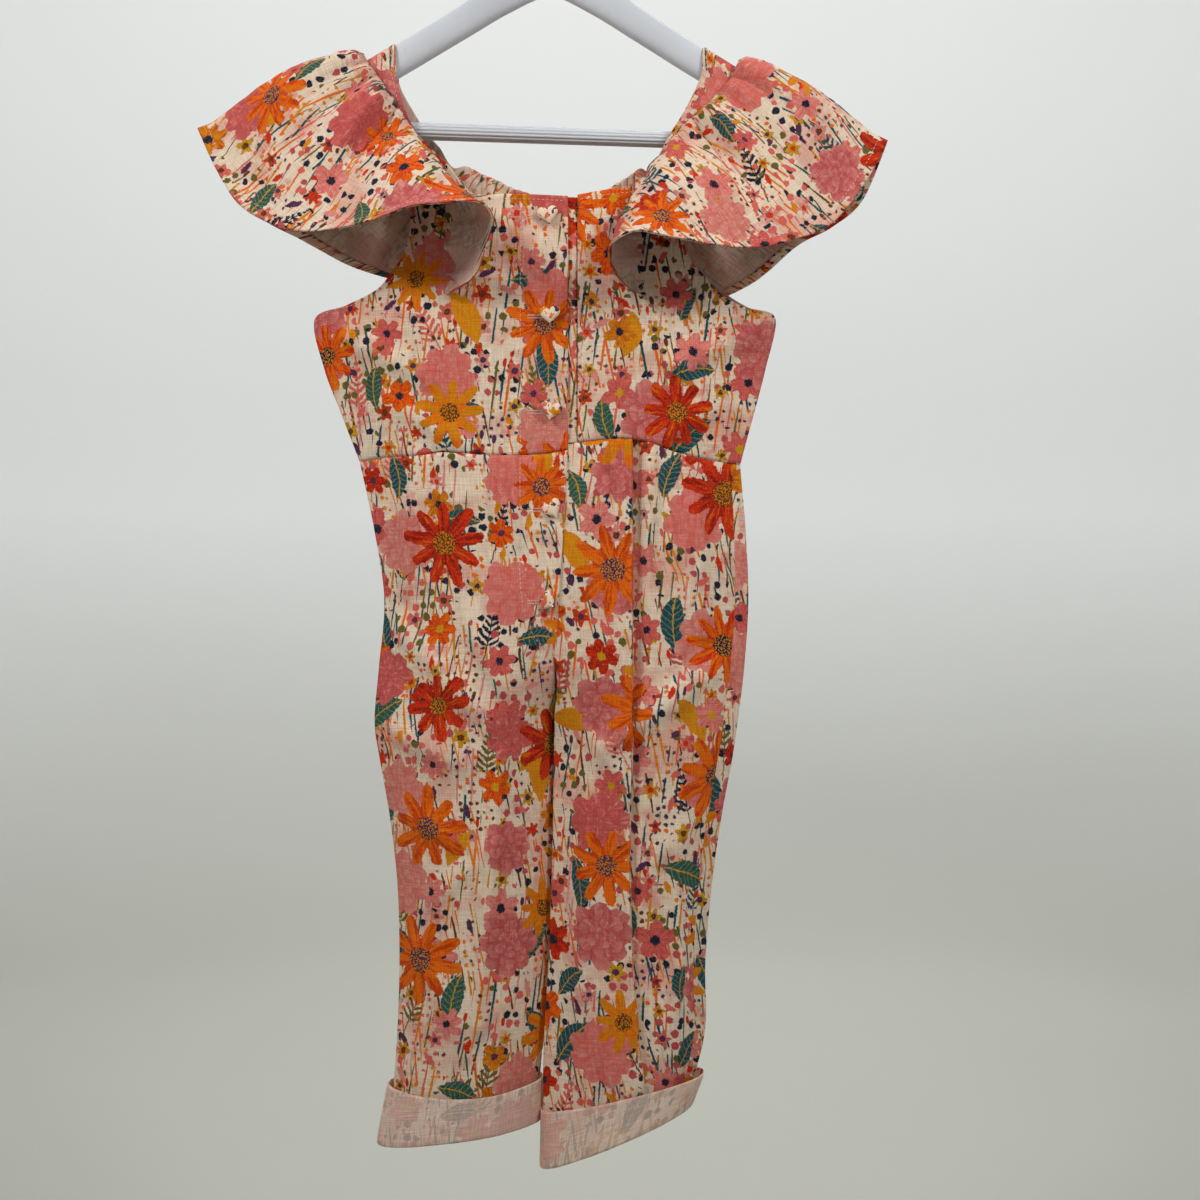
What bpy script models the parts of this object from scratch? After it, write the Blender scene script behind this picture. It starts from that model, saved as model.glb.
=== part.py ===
"""A child's linen jumpsuit with flutter sleeves and turned-up cuffs, hanging on a wooden hanger.

Lengths in the tables are millimetres. X runs to the right as the front is seen, Y away from
the front, Z up. The origin is the inside of the hook's top. Right and left are the wearer's.
"""
import math

import bmesh
import bpy
from mathutils import Vector

MM = 0.001
CLOTH = 1.3
SEAM_GAP = 0.3
SIDE_EDGE = CLOTH / 2 + 0.35
LENS_POWER = 2.4

ARM_HALF_THICKNESS = 6.5
STRAP_BEND = ARM_HALF_THICKNESS + 0.5 + CLOTH / 2
STRAP_FOOT_Z = -250.0
STRAP_FOOT_GAP = 0.7

PRINT_COLOUR = (0.82, 0.52, 0.42, 1.0)
WRONG_SIDE_COLOUR = (0.83, 0.74, 0.71, 1.0)
PAINT_COLOUR = (0.86, 0.87, 0.88, 1.0)
WIRE_COLOUR = (0.62, 0.62, 0.63, 1.0)

# The flattened body: its side edges and the depth of its front and back at each height.
BODY = [
    # z, left, right, front, back
    (-250.0, -170.0, 166.0, 23.0, 22.0),
    (-336.0, -174.8, 170.3, 25.0, 23.0),
    (-373.5, -167.3, 162.8, 24.5, 23.0),
    (-403.5, -156.0, 155.0, 24.0, 22.5),
    (-441.0, -141.0, 144.0, 23.5, 22.0),
    (-493.5, -130.0, 148.0, 26.5, 25.0),
    (-546.0, -122.5, 150.0, 28.5, 27.5),
    (-606.0, -127.5, 145.5, 28.0, 28.0),
    (-647.0, -129.5, 141.0, 25.0, 26.0),
    (-690.0, -121.6, 132.8, 22.0, 23.0),
    (-816.0, -111.0, 117.8, 20.0, 20.0),
    (-940.0, -118.0, 112.0, 19.0, 19.0),
]

# Hanger: the arms' middle line and height at each place along it.
HANGER_ARMS = [
    # x, z, height
    (-219.0, -204.0, 13.0),
    (-205.0, -196.0, 18.0),
    (-170.0, -175.5, 22.0),
    (-114.0, -143.0, 25.5),
    (-62.0, -111.5, 27.0),
    (-26.0, -87.5, 33.0),
    (2.0, -74.0, 39.0),
    (30.0, -88.5, 33.0),
    (66.0, -113.5, 27.0),
    (117.0, -146.0, 25.5),
    (173.0, -179.5, 22.0),
    (208.0, -200.0, 18.0),
    (222.0, -208.0, 13.0),
]

# Bodice fronts: armhole and side edge, and the edge at the centre front.
FRONT_RIGHT = [
    # outer_x, outer_z, inner_x, inner_z
    (-141.0, -442.5, 15.5, -436.0),
    (-156.0, -403.5, 15.5, -398.0),
    (-167.3, -373.5, 15.5, -366.0),
    (-174.8, -336.0, 15.5, -334.0),
    (-150.5, -326.8, 15.5, -323.0),
    (-127.5, -316.6, 15.5, -310.0),
    (-115.8, -304.2, 15.5, -296.0),
    (-104.7, -286.0, 15.5, -278.0),
    (-100.3, -256.0, 15.5, -249.0),
]
FRONT_LEFT = [
    # outer_x, outer_z, inner_x, inner_z
    (144.0, -444.5, 22.5, -431.0),
    (155.0, -403.5, 22.5, -396.0),
    (162.8, -373.5, 22.5, -366.0),
    (170.3, -335.0, 22.5, -334.0),
    (150.0, -329.0, 22.5, -323.0),
    (131.5, -321.0, 22.5, -310.0),
    (116.5, -306.0, 22.5, -296.0),
    (103.5, -290.0, 22.5, -278.0),
    (98.0, -261.0, 22.5, -247.5),
]
BACK = [
    # right_x, right_z, left_x, left_z
    (-141.0, -442.5, 144.0, -444.5),
    (-156.0, -403.5, 155.0, -403.5),
    (-167.3, -373.5, 162.8, -373.5),
    (-174.8, -336.0, 170.3, -335.0),
    (-150.0, -323.0, 150.0, -325.0),
    (-128.0, -309.0, 130.0, -311.0),
    (-114.0, -292.0, 114.0, -294.0),
    (-105.0, -270.0, 103.0, -273.0),
    (-101.0, -243.0, 98.0, -247.0),
]
# Rise of the neck edge over the straight line between its ends, across each panel.
NECK_RISE = {
    "front_right": [(0.0, 0.0), (0.5, 4.6), (0.75, 3.0), (1.0, 0.0)],
    "front_left": [(0.0, 0.0), (0.39, 15.5), (0.5, 12.5), (0.75, 7.0), (1.0, 0.0)],
    "back": [(0.0, 0.0), (0.17, 27.0), (0.25, 23.0), (0.42, 10.0), (0.58, 6.5),
             (0.72, 12.5), (0.82, 24.0), (0.87, 28.0), (1.0, 0.0)],
}
# Waist seam across each front and the back.
WAIST_SEAM = {
    # x, z
    "right": [(-141.0, -442.5), (-121.0, -440.0), (-93.0, -439.0), (-78.0, -437.3), (-42.0, -439.3),
              (-5.0, -439.0), (15.5, -435.8)],
    "left": [(-12.0, -431.5), (15.5, -430.7), (39.0, -428.5), (57.0, -427.5), (72.0, -429.0),
             (92.0, -435.5), (118.0, -441.5), (144.0, -444.8)],
    "back": [(-141.0, -442.5), (1.5, -443.5), (144.0, -444.8)],
}

# Straps: inner and outer edge from the foot on the bodice up to the hanger's arm.
STRAP_RIGHT = [
    # inner_x, inner_z, outer_x, outer_z
    (-42.5, -248.0, -100.3, -255.7),
    (-68.0, -229.0, -109.0, -240.0),
    (-86.0, -212.0, -120.0, -224.0),
    (-99.0, -196.0, -131.0, -207.0),
    (-108.0, -175.0, -141.0, -186.0),
    (-113.0, -155.0, -148.0, -170.0),
]
STRAP_LEFT = [
    # inner_x, inner_z, outer_x, outer_z
    (68.5, -240.5, 98.0, -260.7),
    (79.0, -225.0, 108.0, -243.0),
    (89.0, -204.0, 120.0, -225.0),
    (102.0, -182.0, 133.0, -207.0),
    (109.0, -168.0, 144.0, -188.0),
    (115.0, -154.0, 151.0, -172.0),
]
STRAP_RIGHT_BACK = [
    # inner_x, inner_z, outer_x, outer_z
    (-66.5, -215.7, -101.0, -243.0),
    (-80.0, -205.0, -109.0, -229.0),
    (-93.0, -191.0, -120.0, -213.0),
    (-103.0, -175.0, -132.0, -196.0),
    (-110.0, -163.0, -142.0, -182.0),
    (-113.0, -155.0, -148.0, -170.0),
]
STRAP_LEFT_BACK = [
    # inner_x, inner_z, outer_x, outer_z
    (72.0, -219.0, 98.0, -247.0),
    (83.0, -208.0, 108.0, -232.0),
    (95.0, -193.0, 120.0, -214.0),
    (105.0, -178.0, 133.0, -198.0),
    (112.0, -164.0, 144.0, -184.0),
    (115.0, -154.0, 151.0, -172.0),
]

# Flutter sleeves: each row is a place on the gathered seam and the hem below it, from the
# front end over the shoulder to the back end. Stand is how far the cloth bows outwards.
RUFFLE_RIGHT = [
    # share, seam_x, seam_z, hem_x, hem_y, hem_z, stand
    (0.000, -73.5, -322.0, -71.0, -30.0, -322.0, 0.0),
    (0.045, -75.0, -303.0, -52.0, -46.0, -313.0, 2.0),
    (0.090, -76.5, -284.0, -41.0, -57.0, -292.0, 4.0),
    (0.140, -77.5, -262.0, -38.0, -74.0, -275.0, 7.0),
    (0.185, -80.0, -244.0, -50.0, -84.0, -267.0, 9.0),
    (0.225, -86.0, -225.0, -84.0, -86.0, -271.0, 12.0),
    (0.265, -95.0, -206.0, -116.0, -75.0, -278.0, 13.0),
    (0.305, -105.5, -190.0, -146.0, -61.0, -280.0, 13.0),
    (0.355, -116.5, -172.0, -182.0, -48.0, -281.0, 14.0),
    (0.415, -127.0, -156.0, -221.0, -33.0, -260.0, 14.0),
    (0.460, -133.5, -147.0, -240.0, -19.0, -236.0, 14.0),
    (0.500, -137.0, -142.0, -263.0, 0.0, -192.0, 13.0),
    (0.540, -134.0, -147.0, -246.0, 20.0, -229.0, 12.0),
    (0.590, -127.0, -156.0, -222.0, 31.0, -252.0, 11.0),
    (0.650, -116.5, -172.0, -194.0, 38.0, -266.0, 10.0),
    (0.710, -105.5, -190.0, -172.0, 42.0, -278.0, 9.0),
    (0.770, -96.0, -210.0, -150.0, 43.0, -288.0, 8.0),
    (0.830, -88.0, -232.0, -130.0, 41.0, -295.0, 6.0),
    (0.890, -82.0, -255.0, -110.0, 37.0, -299.0, 4.0),
    (0.950, -79.0, -278.0, -93.0, 32.0, -302.0, 2.0),
    (1.000, -77.0, -300.0, -76.0, 29.5, -303.0, 0.0),
]
RUFFLE_LEFT = [
    # share, seam_x, seam_z, hem_x, hem_y, hem_z, stand
    (0.000, 73.5, -325.0, 71.0, -30.0, -325.0, 0.0),
    (0.045, 72.0, -309.0, 55.0, -41.0, -317.0, 2.0),
    (0.090, 71.0, -292.0, 44.5, -57.0, -304.0, 4.0),
    (0.140, 70.0, -268.0, 50.0, -74.0, -294.0, 7.0),
    (0.185, 72.0, -248.0, 67.0, -84.0, -288.0, 10.0),
    (0.225, 77.0, -229.0, 92.0, -80.0, -293.0, 12.0),
    (0.265, 88.0, -212.0, 117.0, -70.0, -296.0, 13.0),
    (0.305, 100.0, -197.0, 145.0, -60.0, -294.0, 13.0),
    (0.355, 115.0, -182.0, 178.0, -48.0, -288.0, 13.0),
    (0.415, 128.0, -168.0, 211.0, -32.0, -268.0, 12.0),
    (0.460, 137.0, -157.0, 238.0, -17.0, -233.0, 11.0),
    (0.500, 142.0, -146.0, 254.0, -3.0, -203.0, 10.0),
    (0.540, 138.0, -155.0, 240.0, 19.0, -240.0, 10.0),
    (0.590, 130.0, -166.0, 219.0, 31.0, -258.0, 10.0),
    (0.650, 118.0, -181.0, 194.0, 38.0, -270.0, 10.0),
    (0.710, 105.0, -198.0, 173.0, 42.0, -288.0, 9.0),
    (0.770, 95.0, -217.0, 153.0, 43.0, -302.0, 8.0),
    (0.830, 88.0, -240.0, 131.0, 41.0, -313.0, 6.0),
    (0.890, 83.0, -265.0, 110.0, 36.0, -318.0, 4.0),
    (0.950, 80.0, -290.0, 93.0, 32.0, -320.0, 2.0),
    (1.000, 78.0, -314.0, 77.0, 29.5, -321.0, 0.0),
]
RUFFLE_SEAM_STAND = 2.2
RUFFLE_GATHERS = 9
RUFFLE_GATHER_HEIGHT = 3.0

# Trousers: side seam, centre front then inseam, and the crease down each leg. Open is 1 where
# the two legs are one tube and 0 where the leg is a tube of its own. Under is how far the left
# front lies behind the right one at the fly.
LEG_RIGHT = [
    # outer_x, outer_z, front_x, front_z, back_x, back_z, crease_x, open, under
    (-141.0, -442.5, 15.5, -436.0, 1.3, -443.5, -75.5, 1.0, 0.0),
    (-130.0, -493.5, 12.5, -490.0, 1.7, -493.0, -77.0, 1.0, 0.0),
    (-122.5, -546.0, 9.0, -546.0, 2.4, -546.0, -78.0, 1.0, 0.0),
    (-126.5, -596.0, 5.2, -596.0, 2.8, -596.0, -77.0, 0.86, 0.0),
    (-129.7, -636.0, 3.2, -636.0, 3.0, -636.0, -78.0, 0.25, 0.0),
    (-126.0, -664.0, 2.8, -664.0, 2.8, -664.0, -79.0, 0.0, 0.0),
    (-118.0, -710.0, 2.2, -710.0, 2.2, -710.0, -80.5, 0.0, 0.0),
    (-112.5, -760.0, 1.0, -760.0, 1.0, -760.0, -82.5, 0.0, 0.0),
    (-111.0, -816.0, -1.2, -816.0, -1.2, -816.0, -84.5, 0.0, 0.0),
    (-112.5, -868.0, -5.0, -864.0, -5.0, -864.0, -86.0, 0.0, 0.0),
    (-115.0, -905.0, -8.9, -896.0, -8.9, -896.0, -86.5, 0.0, 0.0),
    (-117.0, -940.5, -9.9, -926.0, -9.9, -926.0, -87.0, 0.0, 0.0),
]
LEG_LEFT = [
    # outer_x, outer_z, front_x, front_z, back_x, back_z, crease_x, open, under
    (144.0, -444.5, -8.0, -430.0, 1.7, -443.5, 62.5, 1.0, 1.75),
    (148.0, -493.5, -8.0, -490.0, 2.1, -493.0, 62.5, 1.0, 1.75),
    (150.0, -546.0, -8.0, -546.0, 2.8, -546.0, 62.5, 1.0, 1.75),
    (147.0, -596.0, 6.6, -596.0, 4.0, -596.0, 62.5, 0.86, 1.75),
    (142.0, -636.0, 5.2, -636.0, 4.8, -636.0, 62.5, 0.25, 0.5),
    (138.0, -664.0, 4.7, -664.0, 4.7, -664.0, 62.5, 0.0, 0.0),
    (129.5, -710.0, 4.0, -710.0, 4.0, -710.0, 62.5, 0.0, 0.0),
    (122.5, -760.0, 2.8, -760.0, 2.8, -760.0, 62.0, 0.0, 0.0),
    (117.8, -816.0, 0.7, -816.0, 0.7, -816.0, 62.0, 0.0, 0.0),
    (118.0, -862.0, -2.5, -868.0, -2.5, -868.0, 63.0, 0.0, 0.0),
    (113.0, -890.0, -3.6, -915.0, -3.6, -915.0, 62.0, 0.0, 0.0),
    (107.0, -907.0, -4.0, -957.0, -4.0, -957.0, 60.0, 0.0, 0.0),
]
CREASE_HEIGHT_RIGHT = 2.0
TUCK_HEIGHT_LEFT = 3.0
TUCK_REACH = 16.0
FRONT_LEG_COLUMNS = 14
CREASE_HALF_STEP = 0.9

# Soft folds of the front and back, from one end to the other.
FRONT_FOLDS = [
    # x1, z1, x2, z2, width, height
    (-32.0, -440.0, -20.0, -510.0, 5.0, 3.0),
    (-42.0, -440.0, -41.0, -482.0, 4.5, 2.2),
    (-96.0, -442.0, -106.0, -540.0, 8.0, 3.0),
    (106.0, -446.0, 118.0, -570.0, 9.0, 3.0),
    (-120.0, -560.0, -38.0, -640.0, 10.0, 3.4),
    (-124.0, -640.0, -60.0, -668.0, 9.0, 2.6),
    (136.0, -590.0, 40.0, -655.0, 10.0, 3.2),
    (-30.0, -680.0, -46.0, -860.0, 9.0, 3.2),
    (95.0, -690.0, 90.0, -880.0, 8.0, 3.0),
    (28.0, -700.0, 22.0, -900.0, 7.0, 2.8),
    (-160.0, -345.0, -95.0, -380.0, 9.0, 2.8),
    (158.0, -345.0, 95.0, -372.0, 9.0, 2.8),
    (-118.0, -398.0, -60.0, -434.0, 8.0, 2.2),
    (128.0, -400.0, 84.0, -426.0, 8.0, 2.0),
    (-92.0, -330.0, -84.0, -400.0, 9.0, 2.2),
]
BACK_FOLDS = [
    # x1, z1, x2, z2, width, height
    (-58.0, -446.0, -64.0, -560.0, 8.0, 3.2),
    (60.0, -446.0, 68.0, -570.0, 8.0, 3.2),
    (-112.0, -590.0, -30.0, -650.0, 11.0, 3.6),
    (122.0, -600.0, 35.0, -655.0, 11.0, 3.6),
    (-55.0, -690.0, -60.0, -890.0, 9.0, 3.0),
    (55.0, -690.0, 60.0, -880.0, 9.0, 3.0),
    (-150.0, -350.0, -70.0, -400.0, 10.0, 2.8),
    (150.0, -350.0, 75.0, -405.0, 10.0, 2.8),
    (-20.0, -330.0, -26.0, -425.0, 10.0, 2.2),
    (34.0, -340.0, 42.0, -430.0, 9.0, 2.0),
]
BACK_GATHERS = 9
BACK_GATHER_HEIGHT = 1.3
BACK_GATHER_DEPTH = 55.0

# Cuffs: the upper edge, the fold at the bottom and the end of the wall turned up inside.
CUFF_RIGHT = [
    # outer_x, outer_z, inner_x, inner_z, front, back, sag
    (-119.5, -907.0, -7.2, -904.5, 25.0, 25.0, 7.0),
    (-124.0, -929.0, -7.6, -919.0, 26.0, 26.0, 3.0),
    (-127.5, -949.0, -8.0, -934.0, 27.0, 26.0, 0.0),
    (-125.7, -951.4, -9.2, -936.4, 25.2, 24.2, 0.0),
    (-123.6, -949.0, -10.7, -934.0, 23.4, 22.4, 0.0),
    (-121.8, -944.2, -11.9, -929.7, 21.5, 21.0, 0.0),
]
CUFF_LEFT = [
    # outer_x, outer_z, inner_x, inner_z, front, back, sag
    (117.0, -899.0, -5.2, -927.0, 25.0, 25.0, 0.0),
    (113.5, -909.0, -5.4, -948.0, 26.5, 26.0, 0.0),
    (109.0, -920.0, -5.8, -967.0, 28.0, 27.0, 0.0),
    (107.2, -922.4, -4.6, -969.4, 26.2, 25.2, 0.0),
    (105.2, -920.0, -3.0, -967.0, 24.4, 23.4, 0.0),
    (103.6, -915.0, -1.8, -962.0, 22.5, 22.0, 0.0),
]

CUFF_ROUNDNESS = 0.8

# Heart buttons: place on the placket and how far each is turned.
BUTTONS = [
    # x, z, turn
    (1.0, -264.5, 0.16),
    (2.3, -338.0, 0.05),
    (3.0, -408.0, -0.20),
    (4.5, -480.0, 0.55),
    (1.5, -547.5, 0.75),
]
BUTTON_WIDTH = 14.5
BUTTON_THICKNESS = 5.0

BAR_RADIUS = 6.2
BAR_RIBS = 14
BAR_RIB_DEPTH = 0.5
BAR_LEFT_END = (-186.0, -191.5)
BAR_RIGHT_END = (189.0, -204.5)

WIRE_RADIUS = 2.0
HOOK_RADIUS = 19.0
HOOK_STEM_X = 2.0


def clear_scene():
    for old in list(bpy.data.objects):
        bpy.data.objects.remove(old, do_unlink=True)


def blend(a, b, share):
    return a + (b - a) * share


def smooth(share):
    share = min(1.0, max(0.0, share))
    return share * share * (3.0 - 2.0 * share)


def at_key(rows, key):
    """All the columns of a table at a value of its first column, smooth between its rows."""
    rows = sorted(rows)
    key = min(max(key, rows[0][0]), rows[-1][0])
    i = max(j for j in range(len(rows) - 1) if rows[j][0] <= key)
    before, low, high = rows[max(i - 1, 0)], rows[i], rows[i + 1]
    after = rows[min(i + 2, len(rows) - 1)]
    span = high[0] - low[0]
    t = (key - low[0]) / span
    values = []
    for column in range(1, len(low)):
        slope_low = (high[column] - before[column]) / (high[0] - before[0]) * span
        slope_high = (after[column] - low[column]) / (after[0] - low[0]) * span
        values.append((2 * t ** 3 - 3 * t ** 2 + 1) * low[column] + (t ** 3 - 2 * t ** 2 + t) * slope_low
                      + (3 * t ** 2 - 2 * t ** 3) * high[column] + (t ** 3 - t ** 2) * slope_high)
    return values


def at_share(rows, share):
    """All the columns of a table at a share of the way from its first row to its last."""
    last = len(rows) - 1
    return at_key([(i / last, *row) for i, row in enumerate(rows)], share)


def make_material(name, colour, roughness, metallic=0.0):
    material = bpy.data.materials.new(name)
    material.use_nodes = True
    shader = material.node_tree.nodes["Principled BSDF"]
    shader.inputs["Base Color"].default_value = colour
    shader.inputs["Roughness"].default_value = roughness
    shader.inputs["Metallic"].default_value = metallic
    return material


def add_object(name, bm, colour, roughness, metallic=0.0):
    for vertex in bm.verts:
        vertex.co *= MM
    mesh = bpy.data.meshes.new(name)
    bm.to_mesh(mesh)
    bm.free()
    mesh.shade_smooth()
    mesh.set_sharp_from_angle(angle=math.radians(40))
    mesh.materials.append(make_material(name + "_finish", colour, roughness, metallic))
    obj = bpy.data.objects.new(name, mesh)
    bpy.context.scene.collection.objects.link(obj)
    return obj


def cloth_wall(name, place, across, along, closed=False, colour=PRINT_COLOUR, thickness=CLOTH):
    """A sheet of cloth through place(u, v), thickened evenly to both sides."""
    bm = bmesh.new()
    bmesh.ops.create_grid(bm, x_segments=across, y_segments=along, size=0.5)
    for vertex in bm.verts:
        u = vertex.co.x + 0.5
        v = vertex.co.y + 0.5
        vertex.co = place(u, v)
    if closed:
        bmesh.ops.remove_doubles(bm, verts=bm.verts, dist=0.01)
    obj = add_object(name, bm, colour, 0.85)
    wall = obj.modifiers.new("cloth", "SOLIDIFY")
    wall.thickness = thickness * MM
    wall.offset = 0.0
    wall.use_even_offset = True
    wall.thickness_clamp = 1.0
    return obj


def arm_top(x):
    z, height = at_key(HANGER_ARMS, x)
    return z + height / 2


def strap_crest(x):
    return arm_top(x) + SEAM_GAP + CLOTH / 2


def lens_depth(x, z, side):
    """Depth of the flattened body's front or back at a place on it."""
    left, right, front, back = at_key(BODY, z)
    depth = front if side < 0 else back
    off_centre = abs(2 * x - left - right) / (right - left)
    return SIDE_EDGE + (depth - SIDE_EDGE) * (1 - min(1.0, off_centre) ** LENS_POWER)


def fold_lift(x, z, side):
    """Height of the soft folds at a place on the front or back."""
    lift = 0.0
    for x1, z1, x2, z2, width, height in FRONT_FOLDS if side < 0 else BACK_FOLDS:
        run = Vector((x2 - x1, z2 - z1))
        share = Vector((x - x1, z - z1)).dot(run) / run.length_squared
        inside = min(1.0, max(0.0, share))
        miss = Vector((x - x1, z - z1)) - run * inside
        lift += height * math.exp(-(miss.length / width) ** 2) * math.sin(math.pi * (0.15 + 0.7 * inside))
    return lift


def body_depth(x, z, side):
    """Depth of the garment over the body and, above it, of the straps that close on the arm."""
    if z < STRAP_FOOT_Z:
        edge = at_key(BODY, z)
        from_edge = min(x - edge[0], edge[1] - x)
        return lens_depth(x, z, side) + fold_lift(x, z, side) * smooth(from_edge / 15.0)
    drop = strap_crest(x) - z
    if drop < STRAP_BEND:
        return math.sqrt(max(0.0, STRAP_BEND ** 2 - (STRAP_BEND - drop) ** 2))
    share = (drop - STRAP_BEND) / (strap_crest(x) - STRAP_FOOT_Z - STRAP_BEND)
    foot = max(lens_depth(x, STRAP_FOOT_Z, side), STRAP_BEND)
    return blend(STRAP_BEND, foot, share)


def strap_normal(x, z, side):
    """The way out of the strap or bodice at a place on it, turning upwards over the arm."""
    rise = min(1.0, max(0.0, 1 - (strap_crest(x) - z) / STRAP_BEND))
    return Vector((0.0, side * math.sqrt(1 - rise * rise), rise))


def neck_edge(name, rows, x):
    """Height of a panel's upper edge, where the neck and the straps' feet lie."""
    outer_x, outer_z, inner_x, inner_z = rows[-1]
    share = (x - outer_x) / (inner_x - outer_x)
    return blend(outer_z, inner_z, share) + at_key(NECK_RISE[name], share)[0]


def under_drop(x):
    """How far the left front lies behind the right one, which laps over it."""
    return 1.75 * (1 - smooth((x - 25.0) / 45.0))


def build_bodice_front(name, rows, waist, drop):
    run = 1 if rows[0][0] < rows[0][2] else -1

    def place(u, v):
        share = u if run > 0 else 1 - u
        outer_x, outer_z, inner_x, inner_z = at_share(rows, v)
        x = blend(outer_x, inner_x, share)
        z = blend(outer_z, inner_z, share)
        z += smooth(4 * v - 3) * (neck_edge(name, rows, x) - z)
        z += (1 - smooth(4 * v)) * (at_key(WAIST_SEAM[waist], x)[0] + SEAM_GAP / 2 - z)
        return Vector((x, -body_depth(x, z, -1) + drop(x), z))

    cloth_wall(name, place, 12, 13)


def build_placket_under():
    """The button band on the left front, behind the edge of the right one."""
    def place(u, v):
        x = blend(-12.0, 22.0, u)
        z = blend(at_key(WAIST_SEAM["left"], x)[0] + SEAM_GAP / 2, -249.5, v)
        return Vector((x, -body_depth(x, z, -1) + under_drop(x), z))

    cloth_wall("placket_under", place, 3, 10)


def build_back():
    """The one-piece back, drawn in by the elastic along its neck edge."""
    def place(u, v):
        right_x, right_z, left_x, left_z = at_share(BACK, v)
        share = 1 - u
        x = blend(right_x, left_x, share)
        z = blend(right_z, left_z, share)
        z += smooth(4 * v - 3) * (neck_edge("back", BACK, x) - z)
        z += (1 - smooth(4 * v)) * (at_key(WAIST_SEAM["back"], x)[0] + SEAM_GAP / 2 - z)
        from_neck = max(0.0, -215.0 - z)
        gather = math.sin(2 * math.pi * BACK_GATHERS * share) * math.exp(-(from_neck / BACK_GATHER_DEPTH) ** 2)
        inside = smooth((share - 0.18) / 0.1) * smooth((0.86 - share) / 0.1)
        return Vector((x, body_depth(x, z, 1) + BACK_GATHER_HEIGHT * gather * inside, z))

    cloth_wall("back_bodice", place, 32, 10)


def build_strap(name, front_rows, back_rows, front_panel):
    """A strap from its foot on the front, over the hanger's arm, to its foot on the back."""
    run = 1 if front_rows[0][0] < 0 else -1
    bend_starts = 0.36

    def foot_edge(x, side):
        if side < 0:
            return neck_edge(*front_panel, x)
        return neck_edge("back", BACK, x)

    def place(u, v):
        share = 1 - u if run > 0 else u
        side = -1 if v < 0.5 else 1
        rows = front_rows if side < 0 else back_rows
        rise = min(v, 1 - v) / bend_starts
        if rise < 1:
            inner_x, inner_z, outer_x, outer_z = at_share(rows, rise)
            x = blend(inner_x, outer_x, share)
            z = blend(inner_z, outer_z, share)
            z += (1 - smooth(4 * rise)) * (foot_edge(x, side) + STRAP_FOOT_GAP - z)
            return Vector((x, side * body_depth(x, z, side), z))
        inner_x, inner_z, outer_x, outer_z = rows[-1]
        bend = (min(v, 1 - v) - bend_starts) / (0.5 - bend_starts)
        x = blend(inner_x, outer_x, share) - 2.0 * run * bend
        centre = strap_crest(x) - STRAP_BEND
        if bend < 0.2:
            z = blend(blend(inner_z, outer_z, share), centre, bend / 0.2)
            return Vector((x, side * body_depth(x, z, side), z))
        angle = (bend - 0.2) / 0.8 * math.pi / 2
        return Vector((x, side * STRAP_BEND * math.cos(angle), centre + STRAP_BEND * math.sin(angle)))

    cloth_wall(name, place, 4, 24)


def build_ruffle(name, rows):
    """A flutter sleeve: full cloth gathered into the strap and bowing out to a waved hem."""
    facing = 1 if rows[0][1] < 0 else -1

    def seam_and_hem(share):
        seam_x, seam_z, hem_x, hem_y, hem_z, stand = at_key(rows, share)
        side = -1 if share < 0.5 else 1
        seam_z = min(seam_z, strap_crest(seam_x))
        seam = Vector((seam_x, side * body_depth(seam_x, seam_z, side), seam_z))
        over_arm = math.exp(-((share - 0.5) / 0.06) ** 2)
        seam += strap_normal(seam_x, seam_z, side) * (RUFFLE_SEAM_STAND + over_arm)
        return seam, Vector((hem_x, hem_y, hem_z)), stand

    def place(u, v):
        share = u if facing > 0 else 1 - u
        down = 1 - v
        seam, hem, stand = seam_and_hem(share)
        ahead = seam_and_hem(min(1.0, share + 0.01))
        behind = seam_and_hem(max(0.0, share - 0.01))
        along = (ahead[0] - behind[0]).lerp(ahead[1] - behind[1], 0.35)
        fall = hem - seam
        bow = along.cross(fall).normalized() * facing
        ends = smooth(share / 0.12) * smooth((1 - share) / 0.12)
        gather = math.sin(2 * math.pi * RUFFLE_GATHERS * share) * RUFFLE_GATHER_HEIGHT
        gather *= ends * smooth(down / 0.15) * (1 - 0.55 * down)
        return seam.lerp(hem, down) + bow * (stand * math.sin(math.pi * min(1.0, down * 1.1) ** 0.8) + gather)

    cloth_wall(name, place, 48, 8)


def follow_crease(share, crease_share, half_step):
    """Moves the columns across a front leg so that two of them lie close beside the crease."""
    first = 0.5
    second = 0.5 + 1 / FRONT_LEG_COLUMNS
    if share < first:
        return share / first * (crease_share - half_step)
    if share > second:
        return blend(crease_share + half_step, 1.0, (share - second) / (1 - second))
    return blend(crease_share - half_step, crease_share + half_step, (share - first) / (second - first))


def leg_point(rows, share, v, side, waist):
    outer_x, outer_z, front_x, front_z, back_x, back_z, crease_x, opened, under = at_share(rows, 1 - v)
    inner_x, inner_z = (front_x, front_z) if side < 0 else (back_x, back_z)
    if side < 0:
        width = inner_x - outer_x
        share = follow_crease(share, (crease_x - outer_x) / width, CREASE_HALF_STEP / abs(width))
    x = blend(outer_x, inner_x, share)
    z = blend(outer_z, inner_z, share)
    z += smooth(6 * v - 5) * (at_key(WAIST_SEAM[waist], x)[0] - SEAM_GAP / 2 - z)
    body = lens_depth(x, z, side)
    depth = at_key(BODY, z)[2 if side < 0 else 3]
    leg = SIDE_EDGE + (depth - SIDE_EDGE) * (1 - abs(2 * share - 1) ** LENS_POWER)
    edge = smooth(min(share, 1 - share * (1 - opened)) * 8)
    y = blend(leg, body, opened) + fold_lift(x, z, side) * edge
    return Vector((x, side * y, z)), crease_x, under


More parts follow.
